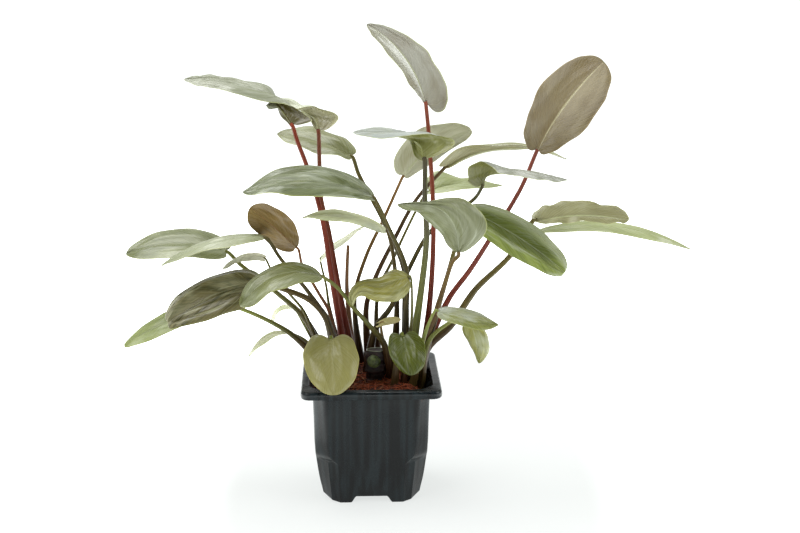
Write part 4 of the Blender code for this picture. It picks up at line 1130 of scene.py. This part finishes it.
def make_strands(half):
    """Curved coir strands, each a thin four-sided tube."""
    points, faces, shades = [], [], []
    steps = FIBRE_STEPS
    for _ in range(FIBRE_COUNT):
        x, y = random.uniform(-half, half), random.uniform(-half, half)
        heading = random.uniform(0, 2 * pi)
        turn = random.uniform(-FIBRE_TURN, FIBRE_TURN)
        length = random.uniform(*FIBRE_LENGTH)
        radius = random.uniform(*FIBRE_RADIUS)
        arch = random.uniform(*FIBRE_ARCH)
        shade = random.random()
        middle_line = []
        for k in range(steps + 1):
            reach = max(abs(x), abs(y))
            if reach > half - FIBRE_MARGIN:
                x, y = x * (half - FIBRE_MARGIN) / reach, y * (half - FIBRE_MARGIN) / reach
            lift = arch * sin(pi * k / steps) + radius * 0.5
            middle_line.append(Vector((x, y, coir_height(x, y, half) + lift)))
            x += cos(heading) * length / steps
            y += sin(heading) * length / steps
            heading += turn
        start = len(points)
        for k, place in enumerate(middle_line):
            ahead = middle_line[min(k + 1, steps)] - middle_line[max(k - 1, 0)]
            if ahead.length < 1e-6:
                ahead = Vector((1.0, 0.0, 0.0))
            side = Vector((-ahead.y, ahead.x, 0.0)).normalized()
            upward = Vector((0.0, 0.0, 1.0))
            thick = radius * (1 - 0.6 * abs(2 * k / steps - 1) ** 3)
            for corner in (side, upward, -side, -upward):
                points.append(place + corner * thick)
                shades.append(shade)
        faces += ring_faces(steps + 1, 4, start, caps=False)
        end = start + steps * 4
        faces += [(start + 3, start + 2, start + 1, start), (end, end + 1, end + 2, end + 3)]
    make_piece("coir_strands", points, faces, [fibre_finish()], None, attributes={"shade": shades},
               sharp=180.0)


def make_stump():
    """Knobbly rhizome stump with old leaf rings, a pale top edge painted as a highlight, and a round bud in
    front.
    """
    sides, rows = STUMP_GRID
    points, kinds = [], []
    for row in range(rows + 1):
        share = row / rows
        swell = float(np.interp(share, [h for h, _ in STUMP_PROFILE], [w for _, w in STUMP_PROFILE]))
        for k in range(sides):
            angle = 2 * pi * k / sides
            radius = STUMP_RADIUS * swell * (1 + 0.05 * sin(3 * angle + 5 * share))
            radius += STUMP_KNOBS * noise_at(1.6 * cos(angle), 1.6 * sin(angle), 5.0 * share)
            radius += STUMP_RIDGES * sin(share * 46.0 + 0.8 * sin(angle))
            x = STUMP_PLACE[0] + radius * cos(angle) + STUMP_LEAN * share
            y = STUMP_PLACE[1] + radius * sin(angle)
            tilt = -0.3 * sin(angle) * smooth_step(share, 0.7, 1.0)
            points.append((x, y, STALK_FOOT + (STUMP_HEIGHT + 1.0) * share + tilt))
            # The top edge is marked for its painted highlight.
            kinds.append(2.0 if share > 0.97 else 0.0)
    shrink, sunk = STUMP_HOLLOW
    for x, y, z in points[rows * sides:]:
        points.append((STUMP_PLACE[0] + STUMP_LEAN + (x - STUMP_PLACE[0] - STUMP_LEAN) * shrink,
                       STUMP_PLACE[1] + (y - STUMP_PLACE[1]) * shrink, z - sunk))
        kinds.append(0.0)
    faces = ring_faces(rows + 2, sides)
    start = len(points)
    bud_sides, bud_rows = BUD_GRID
    centre = seen(*BUD_PLACE)
    for row in range(bud_rows + 1):
        polar = pi * (row + 0.5) / (bud_rows + 1)
        for k in range(bud_sides):
            angle = 2 * pi * k / bud_sides
            direction = Vector((sin(polar) * cos(angle), sin(polar) * sin(angle), cos(polar)))
            points.append(centre + direction * BUD_RADIUS * (1 + 0.06 * noise.noise(direction * 2.2)))
            kinds.append(1.0)
    faces += ring_faces(bud_rows + 1, bud_sides, start)
    make_piece("rhizome_grown", points, faces, [stump_finish()], "rhizome",
               attributes={"kind": kinds}, sharp=60.0)


# Studio

def make_floor():
    """Pale floor that is lit from below like a light table, so shadows on it stay faint."""
    made = Finish("floor", 0.9, 0.0)
    made.colour(FLOOR_ALBEDO)
    made.put(made.shader.inputs["Emission Color"], GLOW_TINT)
    x, y, _ = made.split(made.place())
    along = made.times(y, GLOW_FRONT)
    away = made.maths("SQRT", made.maths("ADD", made.times(x, x), made.times(along, along)))
    loss = made.rise(away, *GLOW_END, 0.0, GLOW_LOSS)
    glow = made.maths("SUBTRACT", made.rise(away, *GLOW_REACH, *FLOOR_GLOW), loss)
    made.put(made.shader.inputs["Emission Strength"], glow)
    reach = FLOOR_REACH
    mesh = bpy.data.meshes.new("floor")
    mesh.from_pydata([(-reach, -reach, 0), (reach, -reach, 0), (reach, reach, 0), (-reach, reach, 0)], [],
                     [(0, 1, 2, 3)])
    mesh.materials.append(made.material)
    add_object("floor", mesh)


def make_light():
    """White studio that is dark behind the camera, with softboxes above, in front and at the right."""
    world = bpy.data.worlds.new("studio")
    world.use_nodes = True
    background = world.node_tree.nodes["Background"]
    background.inputs["Color"].default_value = (*WORLD_TINT, 1.0)
    tree = world.node_tree
    split = tree.nodes.new("ShaderNodeSeparateXYZ")
    tree.links.new(tree.nodes.new("ShaderNodeTexCoord").outputs["Generated"], split.inputs[0])
    turn = tree.nodes.new("ShaderNodeMapRange")
    turn.interpolation_type = "SMOOTHSTEP"
    tree.links.new(split.outputs[1], turn.inputs[0])
    for socket, value in zip(turn.inputs[1:5], (*WORLD_TURN, *WORLD_STRENGTH)):
        socket.default_value = value
    tree.links.new(turn.outputs[0], background.inputs["Strength"])
    bpy.context.scene.world = world
    aim = Vector(in_frame([SIGHT_CENTRE])[0])
    for place, size, power in LAMPS:
        lamp = bpy.data.lights.new("softbox", "AREA")
        lamp.shape = "SQUARE"
        lamp.size = size * MM
        lamp.energy = power
        box = add_object("softbox", lamp)
        box.location = Vector(in_frame([place])[0])
        box.rotation_euler = (aim - box.location).to_track_quat("-Z", "Y").to_euler()


def make_camera():
    """Camera where the photograph was taken from."""
    data = bpy.data.cameras.new("camera")
    data.lens = LENS
    data.sensor_width = SENSOR
    data.sensor_fit = "HORIZONTAL"
    data.clip_start = 0.01
    data.clip_end = 50.0
    camera = add_object("camera", data)
    camera.location = in_frame([EYE])[0]
    camera.rotation_euler = (pi / 2 - EYE_PITCH, 0.0, 0.0)
    bpy.context.scene.camera = camera


make_pot()
make_coir()
make_stump()
make_cut_stalk()
for one in LEAVES:
    make_leaf(one)
make_floor()
make_light()
make_camera()
bpy.context.scene.view_settings.view_transform = "Standard"
